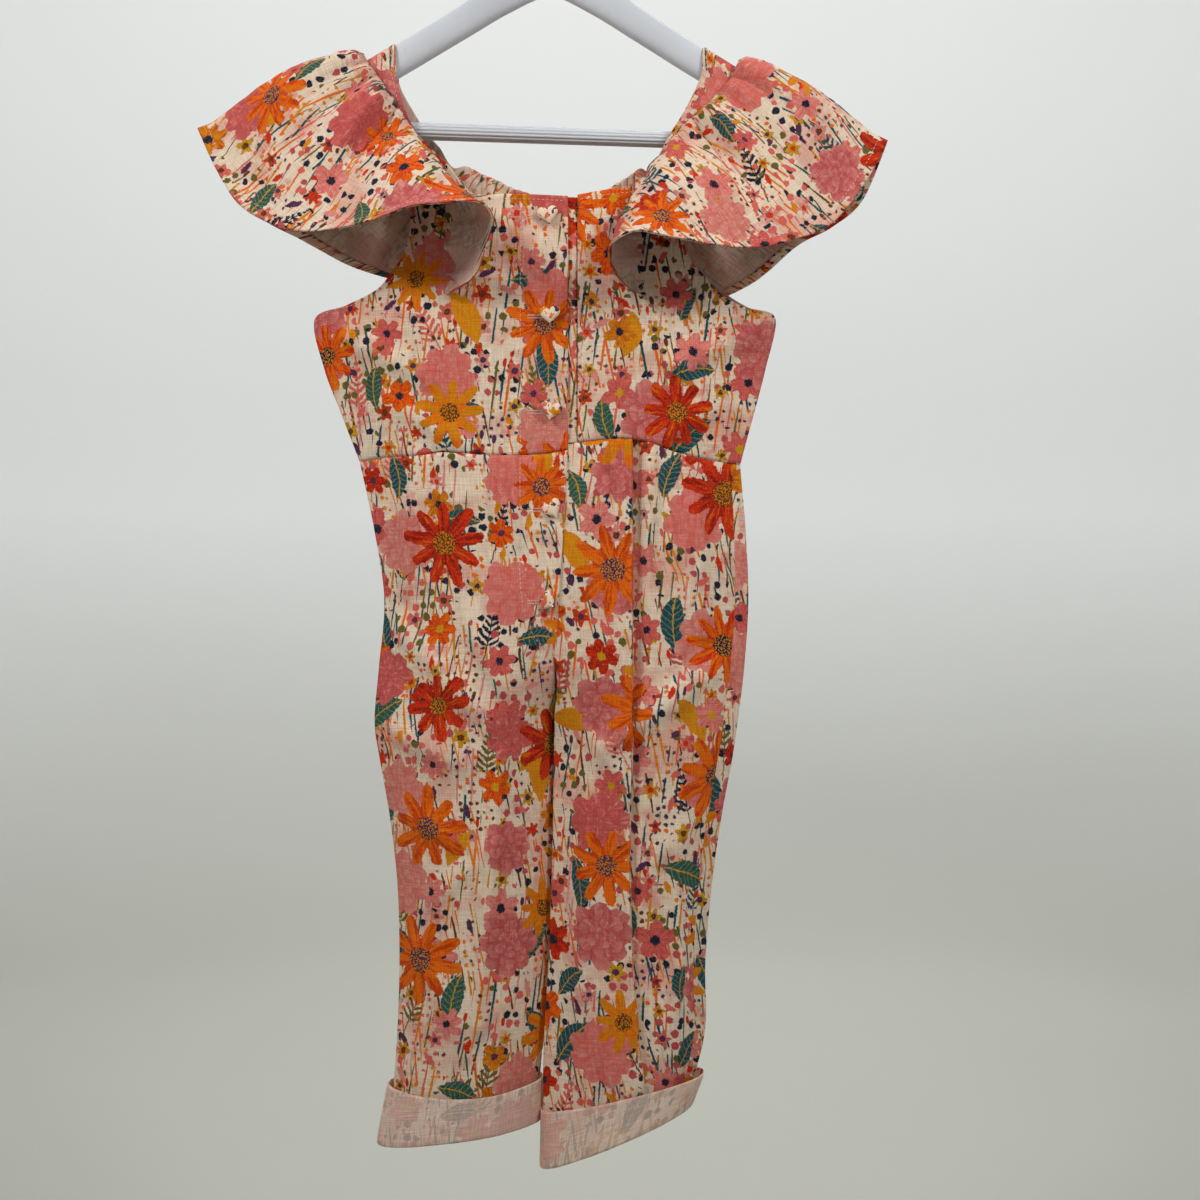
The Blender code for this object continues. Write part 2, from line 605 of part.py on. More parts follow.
def build_trouser_front(name, rows, waist, tuck):
    run = 1 if rows[0][0] < 0 else -1

    def place(u, v):
        share = u if run > 0 else 1 - u
        point, crease_x, under = leg_point(rows, share, v, -1, waist)
        fade = 0.35 + 0.65 * v
        miss = point.x - crease_x
        if tuck:
            lap = smooth(0.5 - miss / (2 * CREASE_HALF_STEP)) * math.exp(-abs(miss) / TUCK_REACH)
            recess = smooth((miss + 1.0) / 2.0) * smooth((14.0 - miss) / 8.0) * smooth((point.z + 500.0) / 60.0)
            point.y -= TUCK_HEIGHT_LEFT * fade * lap
            point.y += 2.0 * recess
        else:
            point.y -= CREASE_HEIGHT_RIGHT * fade * math.exp(-(miss / 7.0) ** 2)
        point.y += under * (1 - smooth((point.x - 15.0) / 45.0))
        return point

    cloth_wall(name, place, FRONT_LEG_COLUMNS, 20)


def build_trouser_back(name, rows):
    run = 1 if rows[0][0] < 0 else -1

    def place(u, v):
        share = 1 - u if run > 0 else u
        return leg_point(rows, share, v, 1, "back")[0]

    cloth_wall(name, place, 12, 20)


def build_cuff(name, rows):
    """The leg's end turned up: an outer wall, the fold below it and the start of the leg inside."""
    run = 1 if rows[0][0] < 0 else -1

    def place(u, v):
        outer_x, outer_z, inner_x, inner_z, front, back, sag = at_share(rows, 1 - v)
        turn = 2 * math.pi * u
        across = 0.5 - 0.5 * run * math.cos(turn)
        x = blend(outer_x, inner_x, across)
        z = blend(outer_z, inner_z, across) - sag * 4 * across * (1 - across)
        forward = math.sin(turn)
        depth = front if forward > 0 else back
        return Vector((x, -math.copysign(depth * abs(forward) ** CUFF_ROUNDNESS, forward), z))

    cloth_wall(name, place, 26, 9, closed=True, colour=WRONG_SIDE_COLOUR)


def heart_outline(turn):
    """A point on a heart's edge, one wide."""
    x = 16 * math.sin(turn) ** 3
    z = 13 * math.cos(turn) - 5 * math.cos(2 * turn) - 2 * math.cos(3 * turn) - math.cos(4 * turn)
    return Vector((x / 32, 0.0, (z + 2.5) / 32))


def build_button(name, x, z, turn):
    """A covered heart button, puffed out to the front and the back of its edge."""
    bm = bmesh.new()
    bmesh.ops.create_uvsphere(bm, u_segments=16, v_segments=5, radius=1.0)
    depth = body_depth(x, z, -1) + CLOTH / 2 + SEAM_GAP + BUTTON_THICKNESS / 2 + 0.3
    for vertex in bm.verts:
        rim = math.hypot(vertex.co.x, vertex.co.y)
        edge = heart_outline(math.atan2(vertex.co.x, vertex.co.y)) * rim ** 0.7
        flat = edge * BUTTON_WIDTH
        tilted_x = flat.x * math.cos(turn) - flat.z * math.sin(turn)
        tilted_z = flat.x * math.sin(turn) + flat.z * math.cos(turn)
        puff = vertex.co.z * BUTTON_THICKNESS / 2
        vertex.co = Vector((x + tilted_x, -depth - puff, z + tilted_z))
    add_object(name, bm, PRINT_COLOUR, 0.8)


def build_hanger_body():
    """The two arms in one: rings of a rounded section from tip to tip."""
    bm = bmesh.new()
    sides = 12
    places = 27
    bmesh.ops.create_cone(bm, cap_ends=True, segments=sides, radius1=1.0, radius2=1.0, depth=1.0)
    ring_edges = [e for e in bm.edges if abs(e.verts[0].co.z - e.verts[1].co.z) > 0.5]
    bmesh.ops.subdivide_edges(bm, edges=ring_edges, cuts=places - 2, use_grid_fill=True)
    left, right = HANGER_ARMS[0][0], HANGER_ARMS[-1][0]
    for vertex in bm.verts:
        along = vertex.co.z + 0.5
        x = blend(left, right, along)
        z, height = at_key(HANGER_ARMS, x)
        tip = min(along, 1 - along) * (places - 1)
        thickness = ARM_HALF_THICKNESS * (0.75 + 0.25 * smooth(tip / 2))
        y = thickness * math.copysign(abs(vertex.co.x) ** 0.75, vertex.co.x)
        z += height / 2 * math.copysign(abs(vertex.co.y) ** 0.85, vertex.co.y)
        vertex.co = Vector((x, y, z))
    add_object("hanger_body", bm, PAINT_COLOUR, 0.45)


def build_hanger_bar():
    """A round bar with grooves along it, its ends cut to the slope of the arms."""
    bm = bmesh.new()
    sides = BAR_RIBS * 2
    bmesh.ops.create_cone(bm, cap_ends=True, segments=sides, radius1=1.0, radius2=1.0, depth=1.0)
    for vertex in bm.verts:
        angle = math.atan2(vertex.co.y, vertex.co.x)
        rib = round(angle / (2 * math.pi) * sides) % 2
        radius = BAR_RADIUS - BAR_RIB_DEPTH * rib
        along = vertex.co.z + 0.5
        z = blend(BAR_LEFT_END[1], BAR_RIGHT_END[1], along) + radius * math.sin(angle)
        x = BAR_LEFT_END[0] if along < 0.5 else BAR_RIGHT_END[0]
        for _ in range(30):
            arm_z, height = at_key(HANGER_ARMS, x)
            x += 0.8 * (arm_z - height / 2 - z) * (-1 if along < 0.5 else 1)
        x += (SEAM_GAP + 0.3) * (1 if along < 0.5 else -1)
        vertex.co = Vector((x, radius * math.cos(angle), z))
    add_object("hanger_bar", bm, PAINT_COLOUR, 0.45)


def build_hook():
    """A bent wire hook that stands on the middle of the hanger."""
    foot_z = arm_top(HOOK_STEM_X) + SEAM_GAP
    centre_z = WIRE_RADIUS - HOOK_RADIUS
    path = [(HOOK_STEM_X, foot_z), (HOOK_STEM_X, foot_z + 6.0), (HOOK_STEM_X + 1.5, foot_z + 12.0)]
    start, end, steps = math.radians(-62), math.radians(205), 17
    for i in range(steps + 1):
        angle = blend(start, end, i / steps)
        path.append((HOOK_RADIUS * math.cos(angle), centre_z + HOOK_RADIUS * math.sin(angle)))
    curve = bpy.data.curves.new("hanger_hook", "CURVE")
    curve.dimensions = "3D"
    curve.bevel_depth = WIRE_RADIUS * MM
    curve.bevel_resolution = 3
    curve.use_fill_caps = True
    wire = curve.splines.new("POLY")
    wire.points.add(len(path) - 1)
    for point, (x, z) in zip(wire.points, path):
        point.co = (x * MM, 0.0, z * MM, 1.0)
    curve.materials.append(make_material("hanger_hook_finish", WIRE_COLOUR, 0.35, 1.0))
    obj = bpy.data.objects.new("hanger_hook", curve)
    bpy.context.scene.collection.objects.link(obj)


clear_scene()
build_hanger_body()
build_hanger_bar()
build_hook()
build_bodice_front("front_right", FRONT_RIGHT, "right", lambda x: 0.0)
build_bodice_front("front_left", FRONT_LEFT, "left", under_drop)
build_placket_under()
build_back()
build_strap("strap_right", STRAP_RIGHT, STRAP_RIGHT_BACK, ("front_right", FRONT_RIGHT))
build_strap("strap_left", STRAP_LEFT, STRAP_LEFT_BACK, ("front_left", FRONT_LEFT))
build_ruffle("ruffle_right", RUFFLE_RIGHT)
build_ruffle("ruffle_left", RUFFLE_LEFT)
build_trouser_front("trouser_front_right", LEG_RIGHT, "right", tuck=False)
build_trouser_front("trouser_front_left", LEG_LEFT, "left", tuck=True)
build_trouser_back("trouser_back_right", LEG_RIGHT)
build_trouser_back("trouser_back_left", LEG_LEFT)
build_cuff("cuff_right", CUFF_RIGHT)
build_cuff("cuff_left", CUFF_LEFT)
for number, (button_x, button_z, button_turn) in enumerate(BUTTONS, start=1):
    build_button(f"button_{number}", button_x, button_z, button_turn)
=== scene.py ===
# A child's linen jumpsuit with flutter sleeves, on a painted wooden hanger.
# Tables are in millimetres: X to the right as the front is seen, Y away from it, Z up, from the
# inside of the hook's top. Right and left are the wearer's.
import math
import bmesh
import bpy
import numpy as np
from mathutils import Matrix, Vector, noise


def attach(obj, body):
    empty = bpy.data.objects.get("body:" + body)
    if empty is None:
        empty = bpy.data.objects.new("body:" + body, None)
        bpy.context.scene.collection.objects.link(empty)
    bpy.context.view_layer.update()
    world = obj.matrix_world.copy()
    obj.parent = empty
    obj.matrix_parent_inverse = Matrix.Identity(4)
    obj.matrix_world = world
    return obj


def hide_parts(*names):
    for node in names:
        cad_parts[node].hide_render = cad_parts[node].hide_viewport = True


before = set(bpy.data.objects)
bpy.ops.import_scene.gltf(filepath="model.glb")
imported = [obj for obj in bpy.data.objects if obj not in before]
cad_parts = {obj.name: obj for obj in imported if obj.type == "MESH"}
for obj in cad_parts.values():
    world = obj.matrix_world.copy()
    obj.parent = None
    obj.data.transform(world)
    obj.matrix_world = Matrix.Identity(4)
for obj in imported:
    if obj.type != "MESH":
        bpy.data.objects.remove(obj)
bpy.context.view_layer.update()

# Camera and studio. The camera stands level, 1.15 m in front of the cloth. The floor is a
# plain pale one that curves up into a round wall, and large soft lights stand above it.
CAMERA_PLACE = (0.039, -1.150, -0.546)
CAMERA_LENS = 45.99
STUDIO_FLOOR_Z = -1.32
STUDIO_FLAT = 2.3
STUDIO_CURVE = 1.4
STUDIO_WALL = 2.6
STUDIO_STEPS = 12
STUDIO_SIDES = 96
# Below the next height the wall's paint darkens down to the floor's colour: painted shade on the lower
# wall, over a darker floor.
STUDIO_PAINTED_SHADE_TOP = -0.25
STUDIO_WALL_COLOUR = (0.86, 0.87, 0.86, 1.0)
STUDIO_FLOOR_AND_SHADE_COLOUR = (0.44, 0.44, 0.385, 1.0)
LIGHTS = [
    # name, place, aim, size, watts, spread in degrees
    ("light_key", (1.0, -1.0, 0.45), (0.0, 0.0, -0.40), 0.4, 3.2, 90.0),
    ("light_fill", (-1.15, -1.0, 0.5), (0.0, 0.0, -0.40), 0.4, 3.8, 90.0),
    ("light_top", (0.2, 0.3, 1.7), (0.0, 0.0, -0.4), 1.4, 3.0, 180.0),
    ("light_back", (0.4, 2.2, 0.6), (0.0, 0.0, -0.5), 1.8, 12.0, 180.0),
    ("light_wall", (0.0, 0.9, 2.0), (0.0, 3.7, 0.3), 2.0, 60.0, 180.0),
]

bpy.context.scene.view_settings.view_transform = "Standard"
camera = bpy.data.objects.new("camera", bpy.data.cameras.new("camera"))
camera.data.lens = CAMERA_LENS
camera.data.sensor_width = 36.0
camera.location = CAMERA_PLACE
camera.rotation_euler = (math.radians(90), 0, 0)
bpy.context.scene.collection.objects.link(camera)
bpy.context.scene.camera = camera

for light_name, place, aim, size, watts, spread in LIGHTS:
    lamp = bpy.data.lights.new(light_name, "AREA")
    lamp.size = size
    lamp.energy = watts
    lamp.spread = math.radians(spread)
    light = bpy.data.objects.new(light_name, lamp)
    light.location = place
    light.rotation_euler = (Vector(aim) - Vector(place)).to_track_quat("-Z", "Y").to_euler()
    light.visible_camera = False
    bpy.context.scene.collection.objects.link(light)

world = bpy.data.worlds.new("studio_air")
world.use_nodes = True
world.node_tree.nodes["Background"].inputs["Color"].default_value = (0.93, 0.95, 1.0, 1.0)
world.node_tree.nodes["Background"].inputs["Strength"].default_value = 0.33
bpy.context.scene.world = world

OBJECT_PLACES = 3


class Signal:
    """A shader node's output, which takes part in sums and comparisons as a number does."""

    def __init__(self, socket):
        self.socket = socket

    def __add__(self, other):
        return calc("ADD", self, other)

    def __sub__(self, other):
        return calc("SUBTRACT", self, other)

    def __rsub__(self, other):
        return calc("SUBTRACT", other, self)

    def __mul__(self, other):
        return calc("MULTIPLY", self, other)

    def __truediv__(self, other):
        return calc("DIVIDE", self, other)

    def __lt__(self, other):
        return calc("LESS_THAN", self, other)

    def __gt__(self, other):
        return calc("GREATER_THAN", self, other)


def put(socket, value):
    """Gives a shader node's input a value, or links it to another node's output."""
    if isinstance(value, Signal):
        socket.id_data.links.new(value.socket, socket)
    else:
        socket.default_value = value


def node_outputs(kind, values, tree=None, **settings):
    """Adds a shader node with its settings and inputs, and returns its outputs."""
    tree = tree or next(v.socket.id_data for v in values.values() if isinstance(v, Signal))
    node = tree.nodes.new("ShaderNode" + kind)
    for setting, value in settings.items():
        setattr(node, setting, value)
    for key, value in values.items():
        put(node.inputs[key], value)
    return [Signal(socket) for socket in node.outputs]


def add_node(kind, values, out=0, **settings):
    return node_outputs(kind, values, **settings)[out]


def calc(operation, *values, clamp=False):
    return add_node("Math", dict(enumerate(values)), operation=operation, use_clamp=clamp)


def vector(operation, *values, scale=1.0, out=0):
    return add_node("VectorMath", {**dict(enumerate(values)), 3: scale}, out, operation=operation)


def split(place):
    return node_outputs("SeparateXYZ", {0: place})


def combined(*parts):
    return add_node("CombineXYZ", dict(enumerate(parts)))


def clouds(place, scale, detail, roughness=0.5, out=0):
    return add_node("TexNoise", {"Vector": place, "Scale": scale, "Detail": detail,
                                 "Roughness": roughness}, out)


def value_range(value, low, high, to_low=0.0, to_high=1.0):
    """Turns a value between low and high into one between to_low and to_high, and no further."""
    return add_node("MapRange", {0: value, 1: low, 2: high, 3: to_low, 4: to_high})


def paint(under, *coats, blend_type="MIX"):
    """Lays coats of colour over another, each of them a mask and its colour."""
    for mask, colour in coats:
        under = add_node("Mix", {0: mask, 6: under, 7: colour}, 2, data_type="RGBA",
                         blend_type=blend_type)
    return under


def relief(height, distance, strength):
    return add_node("Bump", {"Height": height, "Distance": distance, "Strength": strength})


def new_finish(name):
    """A material, and the places on its piece, which its pattern is laid by."""
    finish = bpy.data.materials.new(name)
    finish.use_nodes = True
    return finish, add_node("TexCoord", {}, OBJECT_PLACES, tree=finish.node_tree)


def set_shader(finish, values):
    for key, value in values.items():
        put(finish.node_tree.nodes["Principled BSDF"].inputs[key], value)


def add_piece(name, shape, *finishes, sharp=50):
    """Makes an object from a bmesh in millimetres, with its place in its mesh."""
    shape.transform(Matrix.Scale(0.001, 4))
    mesh = bpy.data.meshes.new(name)
    shape.to_mesh(mesh)
    shape.free()
    mesh.shade_smooth()
    mesh.set_sharp_from_angle(angle=math.radians(sharp))
    for finish in finishes:
        mesh.materials.append(finish)
    piece = bpy.data.objects.new(name, mesh)
    bpy.context.scene.collection.objects.link(piece)
    return piece


studio_paint, place = new_finish("studio_paint")
# Painted shade: from the wall's middle down to the floor the paint turns from the wall's colour to the
# darker floor colour, so the wall is darker towards the bottom.
height = split(place)[2] + clouds(place, 1.3, 3.0) * 0.08
wall_above_painted_shade = value_range(height, STUDIO_FLOOR_Z, STUDIO_PAINTED_SHADE_TOP)
set_shader(studio_paint, {
    "Base Color": paint(STUDIO_FLOOR_AND_SHADE_COLOUR, (wall_above_painted_shade, STUDIO_WALL_COLOUR)), "Roughness": 0.9})

studio = bmesh.new()
rim = [(0.0, STUDIO_FLOOR_Z), (STUDIO_FLAT, STUDIO_FLOOR_Z)]
for i in range(1, STUDIO_STEPS + 1):
    turn = math.radians(90) * i / STUDIO_STEPS
    rim.append((STUDIO_FLAT + STUDIO_CURVE * math.sin(turn),
                STUDIO_FLOOR_Z + STUDIO_CURVE * (1 - math.cos(turn))))
rim.append((STUDIO_FLAT + STUDIO_CURVE, STUDIO_WALL))
rim = [studio.verts.new((x, 0.0, z)) for x, z in rim]
profile = [studio.edges.new(pair) for pair in zip(rim, rim[1:])]
bmesh.ops.spin(studio, geom=rim + profile, cent=(0, 0, 0), axis=(0, 0, 1), angle=math.tau,
               steps=STUDIO_SIDES, use_merge=True)
bmesh.ops.remove_doubles(studio, verts=studio.verts, dist=0.0001)
bmesh.ops.recalc_face_normals(studio, faces=studio.faces)
bmesh.ops.reverse_faces(studio, faces=studio.faces)
bmesh.ops.scale(studio, vec=(1000, 1000, 1000), verts=studio.verts)
add_piece("studio_floor", studio, studio_paint)

# Hanger. Two curved arms of turned and sanded wood in one piece, sprayed with white satin
# paint, with a ribbed trouser bar pegged between them and a bent steel wire hook screwed in.
HANGER_ARMS = [
    # x, z, height
    (-219, -204, 13),
    (-205, -196, 18),
    (-170, -175.5, 22),
    (-114, -143, 25.5),
    (-62, -111.5, 27),
    (-26, -87.5, 33),
    (2, -74, 39),
    (30, -88.5, 33),
    (66, -113.5, 27),
    (117, -146, 25.5),
    (173, -179.5, 22),
    (208, -200, 18),
    (222, -208, 13),
]
ARM_HALF_THICKNESS = 6.5
ARM_SIDES = 40
ARM_PLACES = 140
BAR_RADIUS = 6.2
BAR_RIBS = 14
BAR_RIB_DEPTH = 0.5
BAR_LEFT_END = (-186.0, -191.5)
BAR_RIGHT_END = (189.0, -204.5)
WIRE_RADIUS = 2.0
HOOK_RADIUS = 19.0
HOOK_STEM_X = 2.0
HOOK_TURNS = (-62, 205)
TIP_TAPER = 0.035
TIP_ROUNDING = 0.012
TIP_THICKNESS = 0.72
TIP_END = 0.35
ARM_ROUNDNESS = (0.75, 0.85)
HOOK_STEPS = 48


def blend(a, b, share):
    return a + (b - a) * share


def smooth(share):
    share = np.clip(share, 0.0, 1.0)
    return share * share * (3.0 - 2.0 * share)


def read(rows, key):
    """All the columns of a table at each value of its first column, smooth between its rows."""
    rows = np.array(sorted(rows), float)
    key = np.clip(np.asarray(key, float), rows[0, 0], rows[-1, 0])
    i = np.clip(np.searchsorted(rows[:, 0], key, side="right") - 1, 0, len(rows) - 2)
    before, low, high = rows[np.maximum(i - 1, 0)], rows[i], rows[i + 1]
    after = rows[np.minimum(i + 2, len(rows) - 1)]
    span = (high - low)[..., :1]
    t = (key[..., None] - low[..., :1]) / span
    slope_low = (high - before) / (high - before)[..., :1] * span
    slope_high = (after - low) / (after - low)[..., :1] * span
    value = ((2 * t ** 3 - 3 * t ** 2 + 1) * low + (t ** 3 - 2 * t ** 2 + t) * slope_low
             + (3 * t ** 2 - 2 * t ** 3) * high + (t ** 3 - t ** 2) * slope_high)
    return np.moveaxis(value, -1, 0)[1:]


def read_share(rows, share):
    """All the columns of a table at a share of the way from its first row to its last."""
    return read([(i / (len(rows) - 1), *row) for i, row in enumerate(rows)], share)


def arm_top(x):
    z, height = read(HANGER_ARMS, x)
    return z + height / 2


hanger_paint, place = new_finish("hanger_paint")
brushed = clouds(place, 55.0, 4.0)
grime = value_range(clouds(place, 9.0, 6.0), 0.42, 0.75)
set_shader(hanger_paint, {
    "Base Color": paint((0.60, 0.62, 0.65, 1.0), (grime, (0.52, 0.53, 0.56, 1.0))),
    "Roughness": value_range(brushed, 0.3, 0.7, 0.27, 0.42), "Coat Weight": 0.15,
    "Normal": relief(brushed, 0.0004, 0.25)})

hook_wire, place = new_finish("hook_wire")
drawn = clouds(place, 160.0, 3.0)
set_shader(hook_wire, {
    "Base Color": paint((0.56, 0.56, 0.57, 1.0), (drawn, (0.70, 0.70, 0.71, 1.0))),
    "Roughness": value_range(drawn, 0.3, 0.7, 0.18, 0.34), "Metallic": 1.0})


def squared_off(value, power):
    return math.copysign(abs(value) ** power, value)


arms = bmesh.new()
bmesh.ops.create_cone(arms, cap_ends=True, segments=ARM_SIDES, radius1=1.0, radius2=1.0, depth=1.0)
long_edges = [e for e in arms.edges if abs(e.verts[0].co.z - e.verts[1].co.z) > 0.5]
bmesh.ops.subdivide_edges(arms, edges=long_edges, cuts=ARM_PLACES, use_grid_fill=True)
for vertex in arms.verts:
    along = vertex.co.z + 0.5
    x = blend(HANGER_ARMS[0][0], HANGER_ARMS[-1][0], along)
    z, height = read(HANGER_ARMS, x)
    from_tip = min(along, 1 - along)
    rounding = math.sqrt(max(0.0, 1 - (1 - min(1.0, from_tip / TIP_ROUNDING)) ** 2))
    size = blend(TIP_END, 1.0, rounding)
    y = ARM_HALF_THICKNESS * blend(TIP_THICKNESS, 1.0, smooth(from_tip / TIP_TAPER))
    y = y * squared_off(vertex.co.x, ARM_ROUNDNESS[0])
    rise = height / 2 * squared_off(vertex.co.y, ARM_ROUNDNESS[1])
    vertex.co = Vector((x, y * size, z + rise * size))
hanger_body = add_piece("hanger_arms", arms, hanger_paint)
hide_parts("hanger_body")
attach(hanger_body, "root")

bar = bmesh.new()
bar_sides = BAR_RIBS * 8
bmesh.ops.create_cone(bar, cap_ends=True, segments=bar_sides, radius1=1.0, radius2=1.0, depth=1.0)
for vertex in bar.verts:
    angle = math.atan2(vertex.co.y, vertex.co.x)
    radius = BAR_RADIUS - BAR_RIB_DEPTH * abs(math.sin(angle * BAR_RIBS / 2)) ** 3
    end = BAR_LEFT_END if vertex.co.z < 0 else BAR_RIGHT_END
    out = -1 if vertex.co.z < 0 else 1
    z = end[1] + radius * math.sin(angle)
    x = end[0]
    for _ in range(30):
        arm_z, height = read(HANGER_ARMS, x)
        x += 0.8 * (arm_z - height / 2 - z) * out
    vertex.co = Vector((x + 0.2 * out, radius * math.cos(angle), z))
hanger_bar = add_piece("trouser_bar", bar, hanger_paint, sharp=60)
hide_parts("hanger_bar")
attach(hanger_bar, "root")

foot_z = float(arm_top(HOOK_STEM_X)) - 1.5
hook_path = [(HOOK_STEM_X, foot_z), (HOOK_STEM_X, foot_z + 7.0), (HOOK_STEM_X + 1.5, foot_z + 13.5)]
for i in range(HOOK_STEPS + 1):
    turn = math.radians(blend(*HOOK_TURNS, i / HOOK_STEPS))
    hook_path.append((HOOK_RADIUS * math.cos(turn),
                      WIRE_RADIUS - HOOK_RADIUS + HOOK_RADIUS * math.sin(turn)))
wire = bpy.data.curves.new("hook", "CURVE")
wire.dimensions = "3D"
wire.bevel_depth = WIRE_RADIUS * 0.001
wire.bevel_resolution = 8
wire.use_fill_caps = True
spline = wire.splines.new("POLY")
spline.points.add(len(hook_path) - 1)
for point, (x, z) in zip(spline.points, hook_path):
    point.co = (x * 0.001, 0.0, z * 0.001, 1.0)
wire.materials.append(hook_wire)
hook = bpy.data.objects.new("hook", wire)
bpy.context.scene.collection.objects.link(hook)
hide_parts("hanger_hook")
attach(hook, "root")

# Bodice back. One panel of printed linen from side seam to side seam, its neck edge turned
# over an elastic that draws it into small gathers. The back and the fronts share one form,
# because the empty garment hangs nearly flat.
CLOTH = 0.9
SIDE_EDGE = 0.55
LENS_POWER = 2.4
SOLID_CLOTH = 1.3
STRAP_BEND = ARM_HALF_THICKNESS + 0.5 + SOLID_CLOTH / 2
STRAP_FOOT_Z = -250.0
BODY = [
    # z, left, right, front, back
    (-250, -170, 166, 23, 22),
    (-336, -174.8, 170.3, 25, 23),
    (-373.5, -167.3, 162.8, 24.5, 23),
    (-403.5, -156, 155, 24, 22.5),
    (-441, -141, 144, 23.5, 22),
    (-493.5, -130, 148, 26.5, 25),
    (-546, -122.5, 150, 28.5, 27.5),
    (-606, -127.5, 145.5, 28, 28),
    (-647, -129.5, 141, 25, 26),
    (-690, -121.6, 132.8, 22, 23),
    (-816, -111, 117.8, 20, 20),
    (-940, -118, 112, 19, 19),
]
# Soft folds, from one end to the other.
FRONT_FOLDS = [
    # x1, z1, x2, z2, width, height
    (-27, -440, -21, -506, 3.6, 2.4),
    (-41, -440, -38, -492, 3.4, 2.2),
    (47, -430, 51, -466, 3.2, 1.8),
    (77, -432, 74, -520, 4.6, 3),
    (-58, -560, -34, -612, 7, 2.6),
    (-96, -442, -106, -540, 6, 3),
    (106, -446, 118, -570, 6.5, 3),
    (-120, -560, -38, -640, 10, 3.4),
    (-124, -640, -60, -668, 9, 2.6),
    (136, -590, 40, -655, 10, 3.2),
    (-34, -660, -50, -860, 7, 3.6),
    (99, -690, 96, -880, 6, 3.2),
    (30, -700, 24, -900, 6, 3.2),
    (-160, -345, -95, -380, 9, 2.8),
    (158, -345, 95, -372, 9, 2.8),
    (-118, -398, -60, -434, 8, 2.2),
    (128, -400, 84, -426, 8, 2),
    (-92, -330, -84, -400, 9, 2.2),
    (-60, -270, -20, -262, 5, 0.9),
    (-70, -300, -10, -322, 6, 1),
    (-140, -355, -112, -420, 6, 1.2),
    (40, -280, 64, -330, 6, 1),
    (60, -350, 120, -392, 6, 1.1),
    (-66, -470, -58, -590, 6, 1.4),
    (88, -452, 96, -560, 5, 1.3),
    (30, -452, 26, -540, 5, 1.2),
    (-112, -700, -60, -728, 7, 1.4),
    (-30, -720, -90, -770, 8, 1.2),
    (118, -700, 76, -742, 7, 1.4),
    (30, -640, 70, -700, 6, 1.3),
    (-98, -800, -60, -880, 7, 1.3),
    (104, -790, 84, -880, 6, 1.2),
    (40, -800, 46, -900, 5, 1.1),
]
FOLD_STRENGTH = 1.9
BACK_FOLDS = [
    # x1, z1, x2, z2, width, height
    (-58, -446, -64, -560, 8, 3.2),
    (60, -446, 68, -570, 8, 3.2),
    (-112, -590, -30, -650, 11, 3.6),
    (122, -600, 35, -655, 11, 3.6),
    (-55, -690, -60, -890, 9, 3),
    (55, -690, 60, -880, 9, 3),
    (-150, -350, -70, -400, 10, 2.8),
    (150, -350, 75, -405, 10, 2.8),
    (-20, -330, -26, -425, 10, 2.2),
    (34, -340, 42, -430, 9, 2),
    (-100, -300, -40, -330, 7, 1.2),
    (98, -305, 50, -335, 7, 1.1),
    (-118, -455, -108, -560, 7, 1.4),
    (124, -455, 118, -575, 7, 1.3),
    (-28, -450, -34, -540, 6, 1.3),
    (26, -450, 30, -550, 6, 1.2),
    (-100, -690, -40, -740, 8, 1.4),
    (108, -700, 50, -750, 8, 1.3),
    (-90, -790, -40, -860, 7, 1.3),
    (96, -790, 44, -860, 7, 1.2),
]
BACK = [
    # right_x, right_z, left_x, left_z
    (-141, -442.5, 144, -444.5),
    (-156, -403.5, 155, -403.5),
    (-167.3, -373.5, 162.8, -373.5),
    (-174.8, -336, 170.3, -335),
    (-150, -323, 150, -325),
    (-128, -309, 130, -311),
    (-114, -292, 114, -294),
    (-105, -270, 103, -273),
    (-101, -243, 98, -247),
]
# Rise of the neck edge over the straight line between its ends, across each panel.
NECK_RISE = {
    "front_right": [(0.0, 0.0), (0.5, 4.6), (0.75, 3.0), (1.0, 0.0)],
    "front_left": [(0.0, 0.0), (0.39, 15.5), (0.5, 12.5), (0.75, 7.0), (1.0, 0.0)],
    "back": [(0.0, 0.0), (0.17, 27.0), (0.25, 23.0), (0.42, 10.0), (0.58, 6.5),
             (0.72, 12.5), (0.82, 24.0), (0.87, 28.0), (1.0, 0.0)],
}
WAIST_SEAM = {
    # x, z
    "right": [(-141.0, -442.5), (-121.0, -440.0), (-93.0, -439.0), (-78.0, -437.3), (-42.0, -439.3),
              (-5.0, -439.0), (15.5, -435.8)],
    "left": [(-12.0, -431.5), (15.5, -430.7), (39.0, -428.5), (57.0, -427.5), (72.0, -429.0),
             (92.0, -435.5), (118.0, -441.5), (144.0, -444.8)],
    "back": [(-141.0, -442.5), (1.5, -443.5), (144.0, -444.8)],
}
SEAM_DIP = 1.0
SEAM_DIP_REACH = 2.4
NECK_GATHERS = 30
NECK_GATHER_HEIGHT = 1.5
NECK_GATHER_DEPTH = 30.0
NECK_PUFFS = 9
NECK_PUFF_HEIGHT = 0.6
NECK_PUFF_DEPTH = 60.0
CASING_ENDS = (0.17, 0.88)
CASING_END_REACH = 0.05
CASING_HEIGHT = 0.9
CASING_DROP = 5.0
CASING_WIDTH = 4.0
CALM_BY_SEAM = 20.0


def strap_crest(x):
    return arm_top(x) + 0.3 + SOLID_CLOTH / 2


def lens_depth(x, z, side):
    """Depth of the flattened body's front or back at a place on it."""
    left, right, front, back = read(BODY, z)
    depth = front if side < 0 else back
    off_centre = np.clip(np.abs(2 * x - left - right) / (right - left), 0.0, 1.0)
    return SIDE_EDGE + (depth - SIDE_EDGE) * (1 - off_centre ** LENS_POWER)


